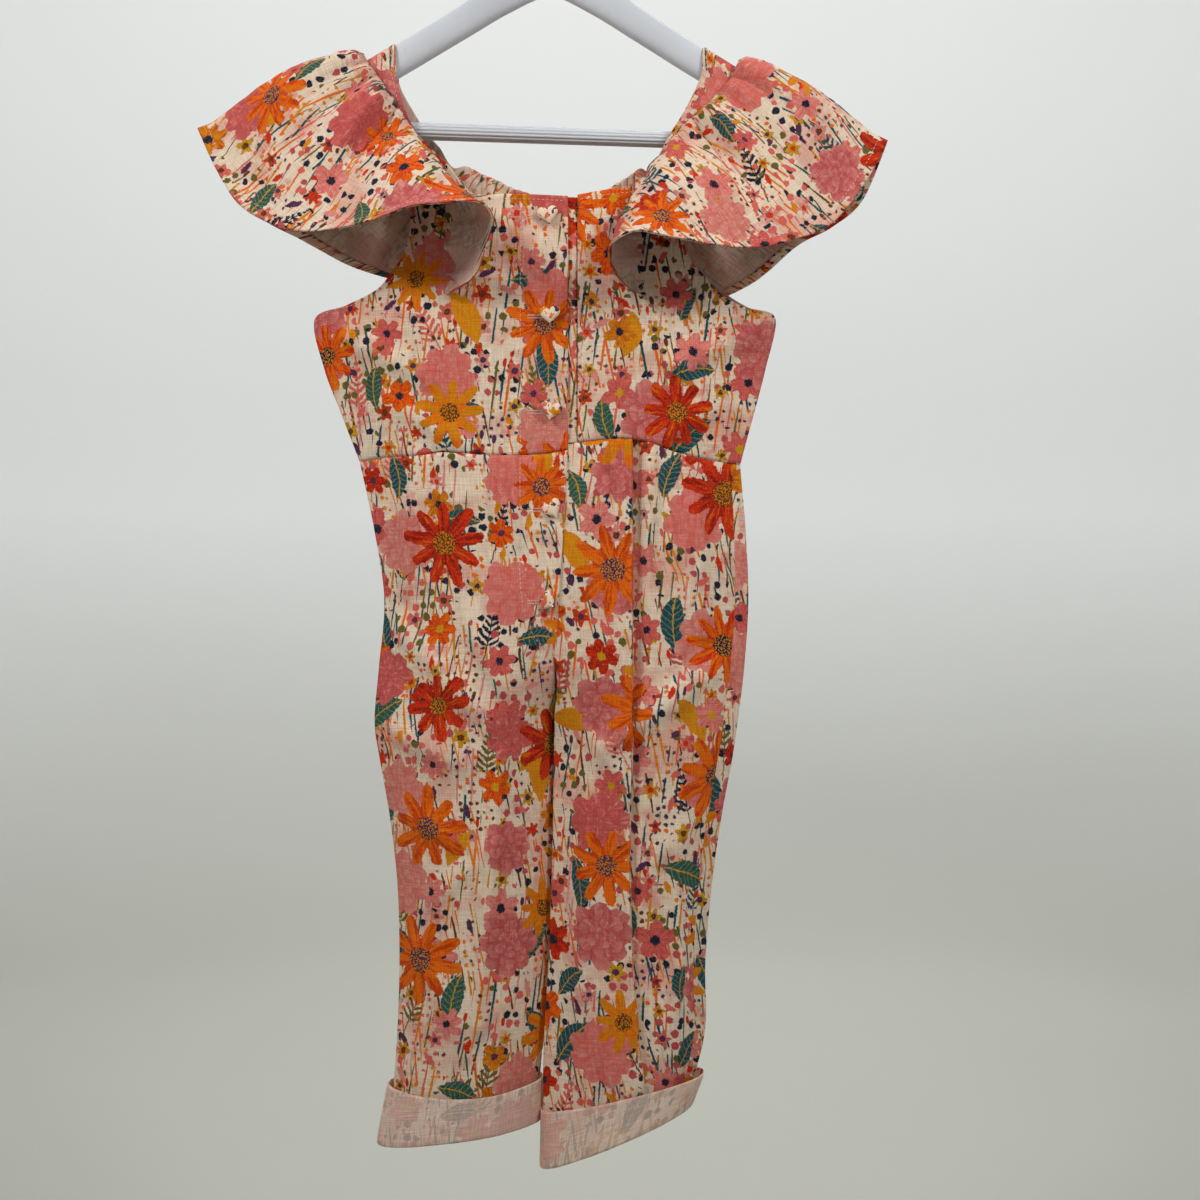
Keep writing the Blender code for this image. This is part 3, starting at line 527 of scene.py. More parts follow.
def fold_lift(x, z, side):
    """Height of the soft folds at a place on the front or back."""
    lift = np.zeros(np.broadcast(x, z).shape)
    for x1, z1, x2, z2, width, height in FRONT_FOLDS if side < 0 else BACK_FOLDS:
        run_x, run_z = x2 - x1, z2 - z1
        share = np.clip(((x - x1) * run_x + (z - z1) * run_z) / (run_x ** 2 + run_z ** 2), 0.0, 1.0)
        miss = np.hypot(x - x1 - run_x * share, z - z1 - run_z * share)
        lift = lift + height * np.exp(-(miss / width) ** 2) * np.sin(math.pi * (0.15 + 0.7 * share))
    return lift * FOLD_STRENGTH


def body_depth(x, z, side):
    """Depth of the garment over the body and, above it, of the straps that close on the arm."""
    left, right = read(BODY, z)[:2]
    over_body = lens_depth(x, z, side)
    over_body = over_body + fold_lift(x, z, side) * smooth(np.minimum(x - left, right - x) / 15.0)
    drop = strap_crest(x) - z
    over_arm = np.sqrt(np.maximum(0.0, STRAP_BEND ** 2 - np.maximum(STRAP_BEND - drop, 0.0) ** 2))
    foot = np.maximum(lens_depth(x, STRAP_FOOT_Z, side), STRAP_BEND)
    share = (drop - STRAP_BEND) / (strap_crest(x) - STRAP_FOOT_Z - STRAP_BEND)
    over_shoulder = np.where(drop < STRAP_BEND, over_arm, blend(STRAP_BEND, foot, share))
    return np.where(z < STRAP_FOOT_Z, over_body, over_shoulder)


def neck_edge(panel, rows, x):
    """Height of a panel's upper edge, where the neck and the straps' feet lie."""
    outer_x, outer_z, inner_x, inner_z = rows[-1]
    share = (x - outer_x) / (inner_x - outer_x)
    return blend(outer_z, inner_z, share) + read(NECK_RISE[panel], share)[0]


def unevenly(share, sway, pace, quick_pace):
    """A share of a way, swayed to and fro, so that what is laid by it isn't evenly spaced."""
    return share + sway * np.sin(share * pace) + sway / 2 * np.sin(share * quick_pace)


def clear_of_ends(share, reach):
    """None at either end and full once further than reach from both."""
    return smooth(share / reach) * smooth((1 - share) / reach)


def seam_dip(distance):
    """How far cloth is drawn inwards beside a seam."""
    return SEAM_DIP * np.exp(-(distance / SEAM_DIP_REACH) ** 2)


def rumple(x, z, seed):
    """The small uneven wrinkles of washed linen."""
    return np.array([1.3 * noise.noise(Vector((px / 34, pz / 52, seed)))
                     + 0.45 * noise.noise(Vector((px / 10, pz / 17, seed))) for px, pz in zip(x, z)])


FLOUNCE_TURN = 1.2
EASING_ROUNDS = 1800
EASING_PACE = 0.2
EASING_STEPS = (8, 6)


def eased_cut(cut, points):
    """The flat cut of curved cloth, eased until its threads keep their lengths both ways."""
    down, over = EASING_STEPS
    coarse = points[::down, ::over]
    start = cut[::down, ::over]
    eased = start.copy()
    all_but_last, all_but_first, whole = slice(None, -1), slice(1, None), slice(None)
    ties = [
        ((whole, all_but_last), (whole, all_but_first)),
        ((all_but_last, whole), (all_but_first, whole)),
        ((all_but_last, all_but_last), (all_but_first, all_but_first)),
        ((all_but_last, all_but_first), (all_but_first, all_but_last)),
    ]
    lengths = [np.linalg.norm(coarse[b] - coarse[a], axis=2) for a, b in ties]
    for _ in range(EASING_ROUNDS):
        move = np.zeros_like(eased)
        for (a, b), length in zip(ties, lengths):
            tie = eased[b] - eased[a]
            pull = tie * (0.5 - 0.5 * length / np.linalg.norm(tie, axis=2))[:, :, None]
            move[a] += pull
            move[b] -= pull
        eased += move * EASING_PACE
    shift = eased - start
    rows, columns = np.arange(cut.shape[0]) / down, np.arange(cut.shape[1]) / over
    top = np.minimum(rows.astype(int), shift.shape[0] - 2)
    left = np.minimum(columns.astype(int), shift.shape[1] - 2)
    row_share, column_share = (rows - top)[:, None, None], (columns - left)[None, :, None]
    above = blend(shift[top][:, left], shift[top][:, left + 1], column_share)
    below = blend(shift[top + 1][:, left], shift[top + 1][:, left + 1], column_share)
    return cut + blend(above, below, row_share)


def lay_cloth(name, place, across, along, outside, inside, start, middle=0.5, cut="strip", breaks=(),
              closed=False, thickness=CLOTH):
    """A piece of cloth through place(u, v), with its flat cut as its UV map, in metres.

    Start is where the print begins, middle the column from which widths are measured, and
    breaks the columns at which the print jumps, as it does over a fold. Hung cloth is cut
    with its threads upright, and a flounce in a curve with its hem outside.
    """
    v, u = np.meshgrid(np.linspace(0, 1, along + 1), np.linspace(0, 1, across + 1), indexing="ij")
    points = place(u.ravel(), v.ravel()).reshape(along + 1, across + 1, 3)
    runs = np.diff(points, axis=1)
    rises = np.linalg.norm(np.diff(points, axis=0), axis=2)
    heights = np.pad(np.cumsum(rises, axis=0), ((1, 0), (0, 0)))
    if cut == "hung":
        runs[:, :, 2] = 0.0
        heights = points[:, :, 2]
    widths = np.pad(np.cumsum(np.linalg.norm(runs, axis=2), axis=1), ((0, 0), (1, 0)))
    widths -= widths[:, [round(middle * across)]]
    if cut == "flounce":
        turn = FLOUNCE_TURN * widths / (widths[:, [-1]] - widths[:, [0]])
        hem_radius = (widths[0, -1] - widths[0, 0]) / FLOUNCE_TURN
        widths = (hem_radius - heights) * np.sin(turn)
        heights = -(hem_radius - heights) * np.cos(turn)
    flat = np.dstack([widths, heights])
    if cut == "flounce":
        flat = eased_cut(flat, points)
    flat = flat * 0.001 + np.array(start)
    shape = bmesh.new()
    bmesh.ops.create_grid(shape, x_segments=across, y_segments=along, size=0.5)
    shape.verts.index_update()
    column = np.array([round((v.co.x + 0.5) * across) for v in shape.verts])
    row = np.array([round((v.co.y + 0.5) * along) for v in shape.verts])
    uv_map = shape.loops.layers.uv.new("cloth")
    for face in shape.faces:
        corners = [v.index for v in face.verts]
        jumps = [Vector(jump) for break_column, jump in breaks if min(column[corners]) > break_column]
        shift = sum(jumps, Vector((0.0, 0.0)))
        for loop in face.loops:
            i = loop.vert.index
            loop[uv_map].uv = Vector(flat[row[i], column[i]]) + shift
    for vertex in shape.verts:
        vertex.co = points[row[vertex.index], column[vertex.index]]
    if closed:
        bmesh.ops.remove_doubles(shape, verts=shape.verts, dist=0.01)
    piece = add_piece(name, shape, outside, inside, sharp=70)
    wall = piece.modifiers.new("cloth", "SOLIDIFY")
    wall.thickness = thickness * 0.001
    wall.offset = 0.0
    wall.material_offset = 1
    wall.material_offset_rim = 0
    return piece


def seam_shift(seam, outer_x, outer_z, inner_x, inner_z, share):
    """How far the straight edge of a panel moves up or down to lie on its seam."""
    return read(seam, blend(outer_x, inner_x, share))[0] - blend(outer_z, inner_z, share)


def back_place(u, v):
    right_x, right_z, left_x, left_z = read_share(BACK, v)
    share = 1 - u
    x = blend(right_x, left_x, share)
    z = blend(right_z, left_z, share)
    z = z + smooth(4 * v - 3) * read(NECK_RISE["back"], share)[0]
    z = z + (1 - smooth(4 * v)) * seam_shift(WAIST_SEAM["back"], *BACK[0], share)
    waist = read(WAIST_SEAM["back"], x)[0]
    from_neck = np.maximum(0.0, neck_edge("back", BACK, x) - z)
    inside = smooth((share - CASING_ENDS[0]) / CASING_END_REACH)
    inside = inside * smooth((CASING_ENDS[1] - share) / CASING_END_REACH)
    gather = np.sin(math.tau * NECK_GATHERS * unevenly(share, 0.006, 47.0, 121.0))
    gather = gather * np.exp(-from_neck / NECK_GATHER_DEPTH)
    puff = np.sin(math.tau * NECK_PUFFS * share) * np.exp(-(from_neck / NECK_PUFF_DEPTH) ** 2)
    casing = CASING_HEIGHT * np.exp(-((from_neck - CASING_DROP) / CASING_WIDTH) ** 2)
    gather = NECK_GATHER_HEIGHT * (gather + NECK_PUFF_HEIGHT * puff)
    y = body_depth(x, z, 1) + (gather + casing) * inside
    y = y + rumple(x, z, 3.0) * smooth((z - waist) / CALM_BY_SEAM) * clear_of_ends(u, 0.125)
    return np.stack([x, y - seam_dip(z - waist), z], axis=1)


def srgb(red, green, blue):
    """A colour as seen on a screen, from 0 to 255, as the light that it stands for."""
    shown = (red, green, blue)
    return (*[((c / 255 + 0.055) / 1.055) ** 2.4 if c > 10 else c / 3295 for c in shown], 1.0)


CREAM = srgb(236, 212, 186)
BLUSH = srgb(222, 160, 140)
PINK = srgb(222, 138, 128)
CORAL = srgb(218, 100, 86)
ROSE = srgb(190, 76, 76)
ORANGE = srgb(232, 102, 0)
RED_ORANGE = srgb(206, 46, 2)
MARIGOLD = srgb(216, 132, 4)
YELLOW = srgb(206, 148, 16)
TEAL = srgb(8, 78, 88)
SEA_GREEN = srgb(34, 90, 80)
NAVY = srgb(28, 30, 50)
PLUM = srgb(82, 42, 72)
BROWN = srgb(104, 52, 22)
OLIVE = srgb(104, 94, 40)
FULL_TURN = 6.28


def new_group(name, inputs, outputs):
    """A node group, its inputs, and its outputs that are still to be linked."""
    group = bpy.data.node_groups.new(name, "ShaderNodeTree")
    for in_out, sockets in (("INPUT", inputs), ("OUTPUT", outputs)):
        for socket, kind in sockets.items():
            group.interface.new_socket(socket, in_out=in_out, socket_type="NodeSocket" + kind)
    given = list(group.nodes.new("NodeGroupInput").outputs)[:len(inputs)]
    return group, [Signal(socket) for socket in given], group.nodes.new("NodeGroupOutput").inputs


def ink(inside, sharpness=2.0):
    """Full inside an outline and none outside it, from the distance inside its edge."""
    return calc("MULTIPLY", inside, sharpness, clamp=True)


# One place in a staggered layout: where the motif's middle is and its own random numbers.
layout, (cloth, pitch, scatter, seed), made = new_group(
    "motif_place", {"Cloth": "Vector", "Pitch": "Vector", "Scatter": "Float", "Seed": "Float"},
    {"Place": "Vector", "Chance": "Color"})
x, y, _ = split(vector("DIVIDE", cloth, pitch))
stagger = calc("FRACT", calc("FLOOR", x) * 0.437)
seat = combined(x, y + (stagger + seed), seed)
cell = vector("ADD", vector("FLOOR", seat), combined(0.0, 0.0, seed * 97.0))
chance = add_node("TexWhiteNoise", {"Vector": cell}, 1, noise_dimensions="3D")
centred = vector("SUBTRACT", vector("FRACTION", seat), (0.5, 0.5, 0.0))
moved = vector("SCALE", vector("SUBTRACT", chance, (0.5, 0.5, 0.5)), scale=scatter)
put(made["Place"], vector("MULTIPLY", vector("SUBTRACT", centred, moved), pitch))
put(made["Chance"], chance)

# A flower seen from above: petals round a middle. Notch is how deep the gaps between petals
# go, and taper is below 1 for pointed petals and above 1 for round ones.
flower, (place, turn, radius, petals, notch, taper), made = new_group(
    "flower", {"Place": "Vector", "Turn": "Float", "Radius": "Float", "Petals": "Float",
               "Notch": "Float", "Taper": "Float"},
    {"Mask": "Float", "Reach": "Float", "Gap": "Float", "Brush": "Float"})
x, y, _ = split(place)
angle = calc("ARCTAN2", y, x)
from_middle = vector("LENGTH", combined(x, y), out=1)
gap = calc("ABSOLUTE", calc("SINE", angle * (petals * 0.5) + turn))
uneven = calc("SINE", angle * 3.0 + turn) * 0.07 + 0.93
edge = radius * (uneven * (1.0 - calc("POWER", gap, taper) * notch))
reach = from_middle / radius
put(made["Mask"], ink(edge - from_middle, 2.2))
put(made["Reach"], reach)
put(made["Gap"], gap)
put(made["Brush"], clouds(combined(angle * 7.0, reach * 1.6, turn * 9.0), 1.1, 3.0))


def palette(chance, *colours):
    """One of the colours, by chance, each as likely."""
    node = chance.socket.id_data.nodes.new("ShaderNodeValToRGB")
    node.color_ramp.interpolation = "CONSTANT"
    stops = node.color_ramp.elements
    for i, colour in enumerate(colours):
        stop = stops[0] if i == 0 else stops.new(i / len(colours))
        stop.color = colour
    stops[-1].color = colours[-1]
    put(node.inputs[0], chance)
    return Signal(node.outputs[0])


# The printed cloth. Outlines are brushed by hand, so that large motifs waver more than grass.
print_group, (cloth,), made = new_group("flower_print", {"Cloth": "Vector"}, {"Colour": "Color"})
wobble = vector("SUBTRACT", clouds(cloth, 0.30, 4.0, 0.65, out=1), (0.5, 0.5, 0.5))
wobble = vector("SCALE", wobble, scale=4.2)
painted = vector("ADD", cloth, wobble)
drawn = vector("ADD", cloth, vector("SCALE", wobble, scale=0.4))


def turned(place, angle):
    return add_node("VectorRotate", {"Vector": place, "Angle": angle}, rotation_type="Z_AXIS")


def motif(pitch, scatter, seed, cloth=painted):
    """The place, and three random numbers, of one motif of a layer of the print."""
    place, chance = node_outputs("Group", {"Cloth": cloth, "Pitch": (*pitch, 1.0), "Scatter": scatter,
                                           "Seed": seed}, node_tree=layout)
    return place, split(chance)


def between(chance, low, high):
    return calc("MULTIPLY_ADD", chance, high - low, low)


def redrawn(chance, factor):
    """Another random number from one that is used already."""
    return calc("FRACT", chance * factor)


def least(first, *others):
    for other in others:
        first = calc("MINIMUM", first, other)
    return first


def bloom(place, turn, radius, petals, notch, taper):
    """A flower's mask, how far out a place lies in it, its gaps and the brush's streaks."""
    return node_outputs("Group", {"Place": place, "Turn": turn, "Radius": radius, "Petals": petals,
                                  "Notch": notch, "Taper": taper}, node_tree=flower)


# The ground: unbleached linen with loose washes of pink.
colour = paint(CREAM, (value_range(clouds(painted, 0.024, 3.0, 0.55), 0.50, 0.62, 0.0, 0.75), BLUSH),
               (value_range(clouds(painted, 0.041, 4.0, 0.6), 0.58, 0.66, 0.0, 0.7), PINK))


def blades(under, lean, seed, low, *colours):
    """Grass in clumps: thin blades, some with a seed at the tip."""
    cloth = turned(drawn, lean)
    place, chance = motif((4.9, 83.0), 0.6, seed, cloth)
    x, y, _ = split(place)
    length = between(chance[1], 15.0, 38.0)
    share = y / length
    side = calc("ABSOLUTE", x)
    width = share * share * -0.85 + between(chance[0], 0.85, 1.25)
    blade = ink(width - side, 2.4) * (calc("ABSOLUTE", share) < 1.0)
    clump = clouds(cloth, 0.030, 1.0) > low
    seed_size = vector("LENGTH", combined(side, (y - length) * 0.5), out=1)
    tip = ink(1.9 - seed_size, 2.4) * clump * (chance[0] > 0.62)
    return paint(under, (blade * clump, palette(chance[2], *colours)),
                 (tip, palette(redrawn(chance[0], 11.3), RED_ORANGE, PLUM, CORAL, BROWN)))


colour = blades(colour, 0.13, 0.13, 0.47, ORANGE, TEAL, MARIGOLD, CORAL, TEAL, OLIVE, PINK)
colour = blades(colour, -0.20, 0.57, 0.49, BROWN, MARIGOLD, TEAL, ORANGE, MARIGOLD, SEA_GREEN)

# Sprigs: a stem with pairs of slanting leaflets that grow shorter to the tip.
place, chance = motif((71.0, 83.0), 0.45, 0.71)
x, y, _ = split(turned(place, between(chance[0], -0.5, 0.5)))
side = calc("ABSOLUTE", x)
leaflet = calc("PINGPONG", y - side * 0.8, 2.6) - 0.9
outline = least((27.0 - y) * 0.28, 8.5) - side
stem = least(0.75 - side, 27.0 - y, y + 30.0)
sprig = calc("MAXIMUM", least(leaflet, outline, y + 12.0), stem)
colour = paint(colour, (ink(sprig) * (chance[1] < 0.8),
                        palette(chance[2], TEAL, NAVY, CORAL, OLIVE, ROSE)))

# Berries and specks: crowds of round dots, one or two colours to a crowd.
crowd = clouds(cloth, 0.028, 1.0)
crowd_colour = split(add_node("TexVoronoi", {"Vector": cloth, "Scale": 0.016}, 1,
                              voronoi_dimensions="2D"))[0]


def dots(under, pitch, radius, mask, *colours):
    distance, own = node_outputs("TexVoronoi", {"Vector": painted, "Scale": 1 / pitch,
                                                "Randomness": 0.62}, voronoi_dimensions="2D")[:2]
    own = split(own)
    size = between(own[0], radius * 0.72 / pitch, radius / pitch)
    tone = calc("FRACT", own[1] * 0.3 + crowd_colour)
    return paint(under, (ink(size - distance, 2.0 * pitch) * mask, palette(tone, *colours)))


colour = dots(colour, 6.4, 1.9, crowd < 0.46, ORANGE, BROWN, CORAL, MARIGOLD, PLUM)
colour = dots(colour, 9.4, 3.4, crowd > 0.53, NAVY, CORAL, OLIVE, NAVY, ROSE)

# Loose petals, brushed in one stroke.
place, chance = motif((24.0, 29.0), 0.4, 0.47)
x, y, _ = split(turned(place, between(chance[0], -1.2, 1.2)))
share = y / between(chance[1], 4.5, 8.5)
petal = ink(share * share * -2.6 + 2.6 - calc("ABSOLUTE", x)) * (chance[2] < 0.5)
tone = palette(redrawn(chance[2], 7.7), CORAL, RED_ORANGE, PLUM, MARIGOLD, PINK)
colour = paint(colour, (petal, tone))

# Small yellow and pink flowers.
place, chance = motif((25.0, 23.0), 0.32, 0.37)
mask, reach, _, brush = bloom(place, between(chance[0], 0, FULL_TURN), between(chance[1], 5.6, 8.8),
                              calc("ROUND", chance[2]) + 5.0, 0.45, 1.6)
tone = palette(redrawn(chance[0], 7.3), YELLOW, MARIGOLD, PINK, YELLOW, RED_ORANGE, CORAL)
tone = paint(tone, (value_range(brush, 0.50, 0.66, 0.0, 0.6), OLIVE),
             (reach < 0.3, palette(chance[2], BROWN, PLUM, RED_ORANGE)))
colour = paint(colour, (mask * (redrawn(chance[1], 5.7) < 0.5), tone))

# Leaves: broad ones with a pale rib, teal for the most part.
place, chance = motif((57.0, 61.0), 0.4, 0.59)
x, y, _ = split(turned(place, between(chance[0], -1.9, 1.9)))
share = x / between(chance[1], 14.0, 23.0)
squared = share * share
bend = calc("ABSOLUTE", y + squared * 3.0)
leaf = ink((1.0 - squared) * between(chance[1], 6.5, 9.5) - bend) * (chance[2] < 0.72)
veins = calc("PINGPONG", share * 9.0 - bend * 0.3, 1.0)
tone = palette(redrawn(chance[2], 9.1), TEAL, TEAL, MARIGOLD, SEA_GREEN)
tone = paint(tone, ((veins < 0.14) * 0.5, YELLOW), (bend < 0.45, YELLOW))
colour = paint(colour, (leaf, tone))

# Blossoms: five to seven round petals with a dark eye.
place, chance = motif((51.0, 48.0), 0.34, 0.83)
mask, reach, gap, brush = bloom(place, between(chance[0], 0, FULL_TURN), between(chance[1], 10.5, 17.0),
                                calc("ROUND", chance[2] * 2.0) + 5.0, 0.36, 4.0)
own = redrawn(chance[0], 5.9)
tone = palette(own, RED_ORANGE, PINK, CORAL, MARIGOLD, PINK, ORANGE)
shade = palette(own, srgb(150, 24, 4), CORAL, ROSE, srgb(184, 78, 4), CORAL, RED_ORANGE)
tone = paint(tone, (value_range(brush, 0.44, 0.62), shade), (value_range(gap, 0.86, 0.98) * 0.6, shade),
             (brush * 0.3 + reach < 0.37, palette(chance[1], PLUM, NAVY, YELLOW, NAVY)))
colour = paint(colour, (mask * (chance[2] < 0.78), tone))

# Full round heads: four rings of lapping petals, each pale at its rim and deeper inside.
place, chance = motif((93.0, 87.0), 0.30, 0.27)
turn = between(chance[0], 0, FULL_TURN)
radius = between(chance[1], 21.0, 29.0)
own = redrawn(chance[0], 3.7)
rim_tone = palette(own, PINK, BLUSH, srgb(214, 104, 92), PINK)
deep_tone = palette(own, CORAL, srgb(214, 106, 96), ROSE, ROSE)
kept = bloom(place, turn, radius, 8.0, 0.0, 1.0)[0] * (chance[2] < 0.82)
for size, petals, reach_low in ((1.0, 8.0, 0.5), (0.70, 6.0, 0.35), (0.42, 5.0, 0.2), (0.19, 4.0, 0.0)):
    mask, reach, gap, brush = bloom(place, turn + size * 5, radius * size, petals, 0.20, 4.0)
    tone = paint(deep_tone, (value_range(reach, reach_low, 1.0, 0.0, 0.9), rim_tone),
                 (value_range(brush, 0.50, 0.64, 0.0, 0.7), deep_tone),
                 (value_range(brush, 0.40, 0.32, 0.0, 0.6), BLUSH),
                 (value_range(gap, 0.88, 0.98) * 0.6, deep_tone))
    colour = paint(colour, (kept * mask, tone))

# Large open flowers: eight to ten orange petals, veined, round a brown and golden middle.
place, chance = motif((97.0, 104.0), 0.30, 0.91)
mask, reach, gap, brush = bloom(place, between(chance[0], 0, FULL_TURN), between(chance[1], 23.0, 38.0),
                                calc("ROUND", chance[2] * 2.0) + 8.0, 0.50,
                                between(redrawn(chance[2], 4.3), 1.4, 4.6))
own = redrawn(chance[1], 6.1)
tone = palette(own, ORANGE, RED_ORANGE, ORANGE, MARIGOLD)
shade = palette(own, srgb(196, 62, 2), srgb(150, 22, 2), RED_ORANGE, ORANGE)
speck = add_node("TexVoronoi", {"Vector": painted, "Scale": 0.62}, voronoi_dimensions="2D") < 0.34
eye = paint(palette(own, PLUM, BROWN, NAVY, BROWN), (speck, MARIGOLD))
tone = paint(tone, (value_range(brush, 0.48, 0.60), shade),
             (value_range(brush, 0.40, 0.30, 0.0, 0.7), MARIGOLD),
             (value_range(gap, 0.90, 0.98) * 0.7, shade), (brush * 0.16 + reach < 0.34, eye))
colour = paint(colour, (mask * (chance[2] < 0.80), tone))


def stretched(cloth, x, y):
    return add_node("Mapping", {"Vector": cloth, "Scale": (x, y, 1.0)})


# The print is dry in places, so that the linen's slubs show through it.
dry = value_range(clouds(stretched(cloth, 1.5, 0.5), 1.0, 3.0, 0.75), 0.57, 0.72, 0.0, 0.36)
put(made["Colour"], paint(colour, (dry, CREAM)))

# Linen: uneven flat threads, warp and weft, seen as fine slubs and as a slight relief.
THREADS_PER_MM = 1.6
WARP_SLUBS = 1.3
WEFT_SLUBS = 1.1
SLUB_STRETCH = 0.045
linen, (cloth,), made = new_group("linen_weave", {"Cloth": "Vector"},
                                  {"Shade": "Float", "Relief": "Float"})
warp = clouds(stretched(cloth, WARP_SLUBS, WARP_SLUBS * SLUB_STRETCH), 1.0, 2.0, 0.6)
weft = clouds(stretched(cloth, WEFT_SLUBS * SLUB_STRETCH, WEFT_SLUBS), 1.0, 2.0, 0.6)
x, y, _ = split(cloth)
weave = calc("SINE", x * (THREADS_PER_MM * math.tau)) * calc("SINE", y * (THREADS_PER_MM * math.tau))
put(made["Shade"], value_range(warp + weft, 0.7, 1.3, 0.70, 1.10))
put(made["Relief"], weave * 0.22 + (warp + weft))


def linen_finish(name, wrong_side):
    """Printed linen, or its wrong side, where the print only shows through."""
    finish = bpy.data.materials.new(name)
    finish.use_nodes = True
    cut = add_node("UVMap", {}, tree=finish.node_tree, uv_map="cloth")
    cloth = vector("SCALE", cut, scale=1000.0)
    printed = add_node("Group", {"Cloth": cloth}, node_tree=print_group)
    shade, height = node_outputs("Group", {"Cloth": cloth}, node_tree=linen)
    if wrong_side:
        printed = paint(printed, (0.68, srgb(226, 200, 184)))
    shade = add_node("CombineColor", {0: shade, 1: shade, 2: shade})
    set_shader(finish, {
        "Base Color": paint(printed, (1.0, shade), blend_type="MULTIPLY"),
        "Normal": relief(height, 0.0005, 0.55), "Roughness": 0.88, "Specular IOR Level": 0.1,
        "Sheen Weight": 0.03, "Sheen Roughness": 0.5})
    return finish


PROBE = 0.002
SEARCH_GRID = 81
SEARCH_ROUNDS = 6


def normal_at(place, u, v):
    """The direction that a cloth's outside faces."""
    across = place(np.minimum(u + PROBE, 1.0), v) - place(np.maximum(u - PROBE, 0.0), v)
    up = place(u, np.minimum(v + PROBE, 1.0)) - place(u, np.maximum(v - PROBE, 0.0))
    normal = np.cross(across, up)
    return normal / np.linalg.norm(normal, axis=1)[:, None]


def turned_edge(place, height, low, high):
    """The part of a cloth from v low to high, laid on it as a second layer."""
    def turned_place(u, v):
        v = blend(low, high, v)
        return place(u, v) + normal_at(place, u, v) * height
    return turned_place


def on_cloth(place, x, z):
    """The u and v of places on a cloth that are given as they show from the front."""
    shares = np.linspace(0, 1, SEARCH_GRID)
    v, u = np.meshgrid(shares, shares, indexing="ij")
    u, v = u.ravel(), v.ravel()
    known = place(u, v)
    nearest = [int(np.argmin((known[:, 0] - a) ** 2 + (known[:, 2] - b) ** 2)) for a, b in zip(x, z)]
    u, v = u[nearest], v[nearest]
    for _ in range(SEARCH_ROUNDS):
        miss = np.stack([x, z], axis=1) - place(u, v)[:, [0, 2]]
        across = (place(u + PROBE, v) - place(u - PROBE, v))[:, [0, 2]] / (2 * PROBE)
        up = (place(u, v + PROBE) - place(u, v - PROBE))[:, [0, 2]] / (2 * PROBE)
        area = across[:, 0] * up[:, 1] - across[:, 1] * up[:, 0]
        u = u + (miss[:, 0] * up[:, 1] - miss[:, 1] * up[:, 0]) / area
        v = v + (across[:, 0] * miss[:, 1] - across[:, 1] * miss[:, 0]) / area
        u, v = np.clip(u, PROBE, 1 - PROBE), np.clip(v, PROBE, 1 - PROBE)
    return u, v


STITCH = 2.4
STITCH_GAP = 1.0
THREAD_WIDTH = 0.46
THREAD_HEIGHT = 0.34

sewing_thread, place = new_finish("sewing_thread")
twist = clouds(place, 900.0, 2.0)
set_shader(sewing_thread, {
    "Base Color": paint(srgb(196, 168, 142), (value_range(twist, 0.35, 0.65), srgb(236, 216, 196))),
    "Normal": relief(twist, 0.0002, 0.6), "Roughness": 0.7, "Specular IOR Level": 0.2})


def sew(seam, place, u, v, height=CLOTH / 2 + 0.1):
    """Adds a row of small stitches along a line on a cloth."""
    u, v = np.broadcast_arrays(np.asarray(u, float), np.asarray(v, float))
    line = place(u, v)
    run = np.pad(np.cumsum(np.linalg.norm(np.diff(line, axis=0), axis=1)), (1, 0))
    middles = np.arange(STITCH / 2, run[-1], STITCH + STITCH_GAP)
    here_u, here_v = np.interp(middles, run, u), np.interp(middles, run, v)
    ahead = place(np.interp(middles + 0.5, run, u), np.interp(middles + 0.5, run, v))
    behind = place(np.interp(middles - 0.5, run, u), np.interp(middles - 0.5, run, v))
    centres = place(here_u, here_v)
    for centre, out, along in zip(centres, normal_at(place, here_u, here_v), ahead - behind):
        add_stitch(seam, centre + out * height, along, out, STITCH)


def add_stitch(seam, centre, along, out, length):
    along, out = Vector(along).normalized(), Vector(out).normalized()
    beside = out.cross(along).normalized()
    turn = Matrix((along, beside, beside.cross(along) * -1)).transposed().to_4x4()
    size = Matrix.Diagonal((length / 2, THREAD_WIDTH / 2, THREAD_HEIGHT / 2, 1.0))
    bmesh.ops.create_uvsphere(seam, u_segments=6, v_segments=4, radius=1.0,
                              matrix=Matrix.Translation(centre) @ turn @ size)


def finish_seam(name, seam):
    bmesh.ops.recalc_face_normals(seam, faces=seam.faces)
    stitches = add_piece(name, seam, sewing_thread, sharp=80)
    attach(stitches, "root")
    return stitches


printed_linen = linen_finish("printed_linen", False)
wrong_side = linen_finish("linen_wrong_side", True)

back_bodice = lay_cloth("back_bodice_cloth", back_place, 200, 110, printed_linen, wrong_side,
                        (0.31, 0.77), cut="hung")
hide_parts("back_bodice")
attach(back_bodice, "root")
neck_casing = lay_cloth("back_neck_casing", turned_edge(back_place, -CLOTH, 0.935, 0.998), 200, 8,
                        printed_linen, printed_linen, (0.12, 0.33), thickness=0.6)
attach(neck_casing, "root")
# Where the stitches run, as shares of a panel's width and height.
NECK_SEAM = 0.985
CASING_SEAM = 0.937
CASING_SEAM_ENDS = (0.14, 0.82)
ARMHOLE_SEAM_ENDS = (0.385, NECK_SEAM)
across = np.linspace(0.0, 1.0, 300)
up_the_armhole = blend(*ARMHOLE_SEAM_ENDS, across)
back_seam = bmesh.new()
for height in (CASING_SEAM, NECK_SEAM):
    sew(back_seam, back_place, blend(*CASING_SEAM_ENDS, across), height)
for edge in (0.016, 0.984):
    sew(back_seam, back_place, edge, up_the_armhole)
finish_seam("back_stitching", back_seam)

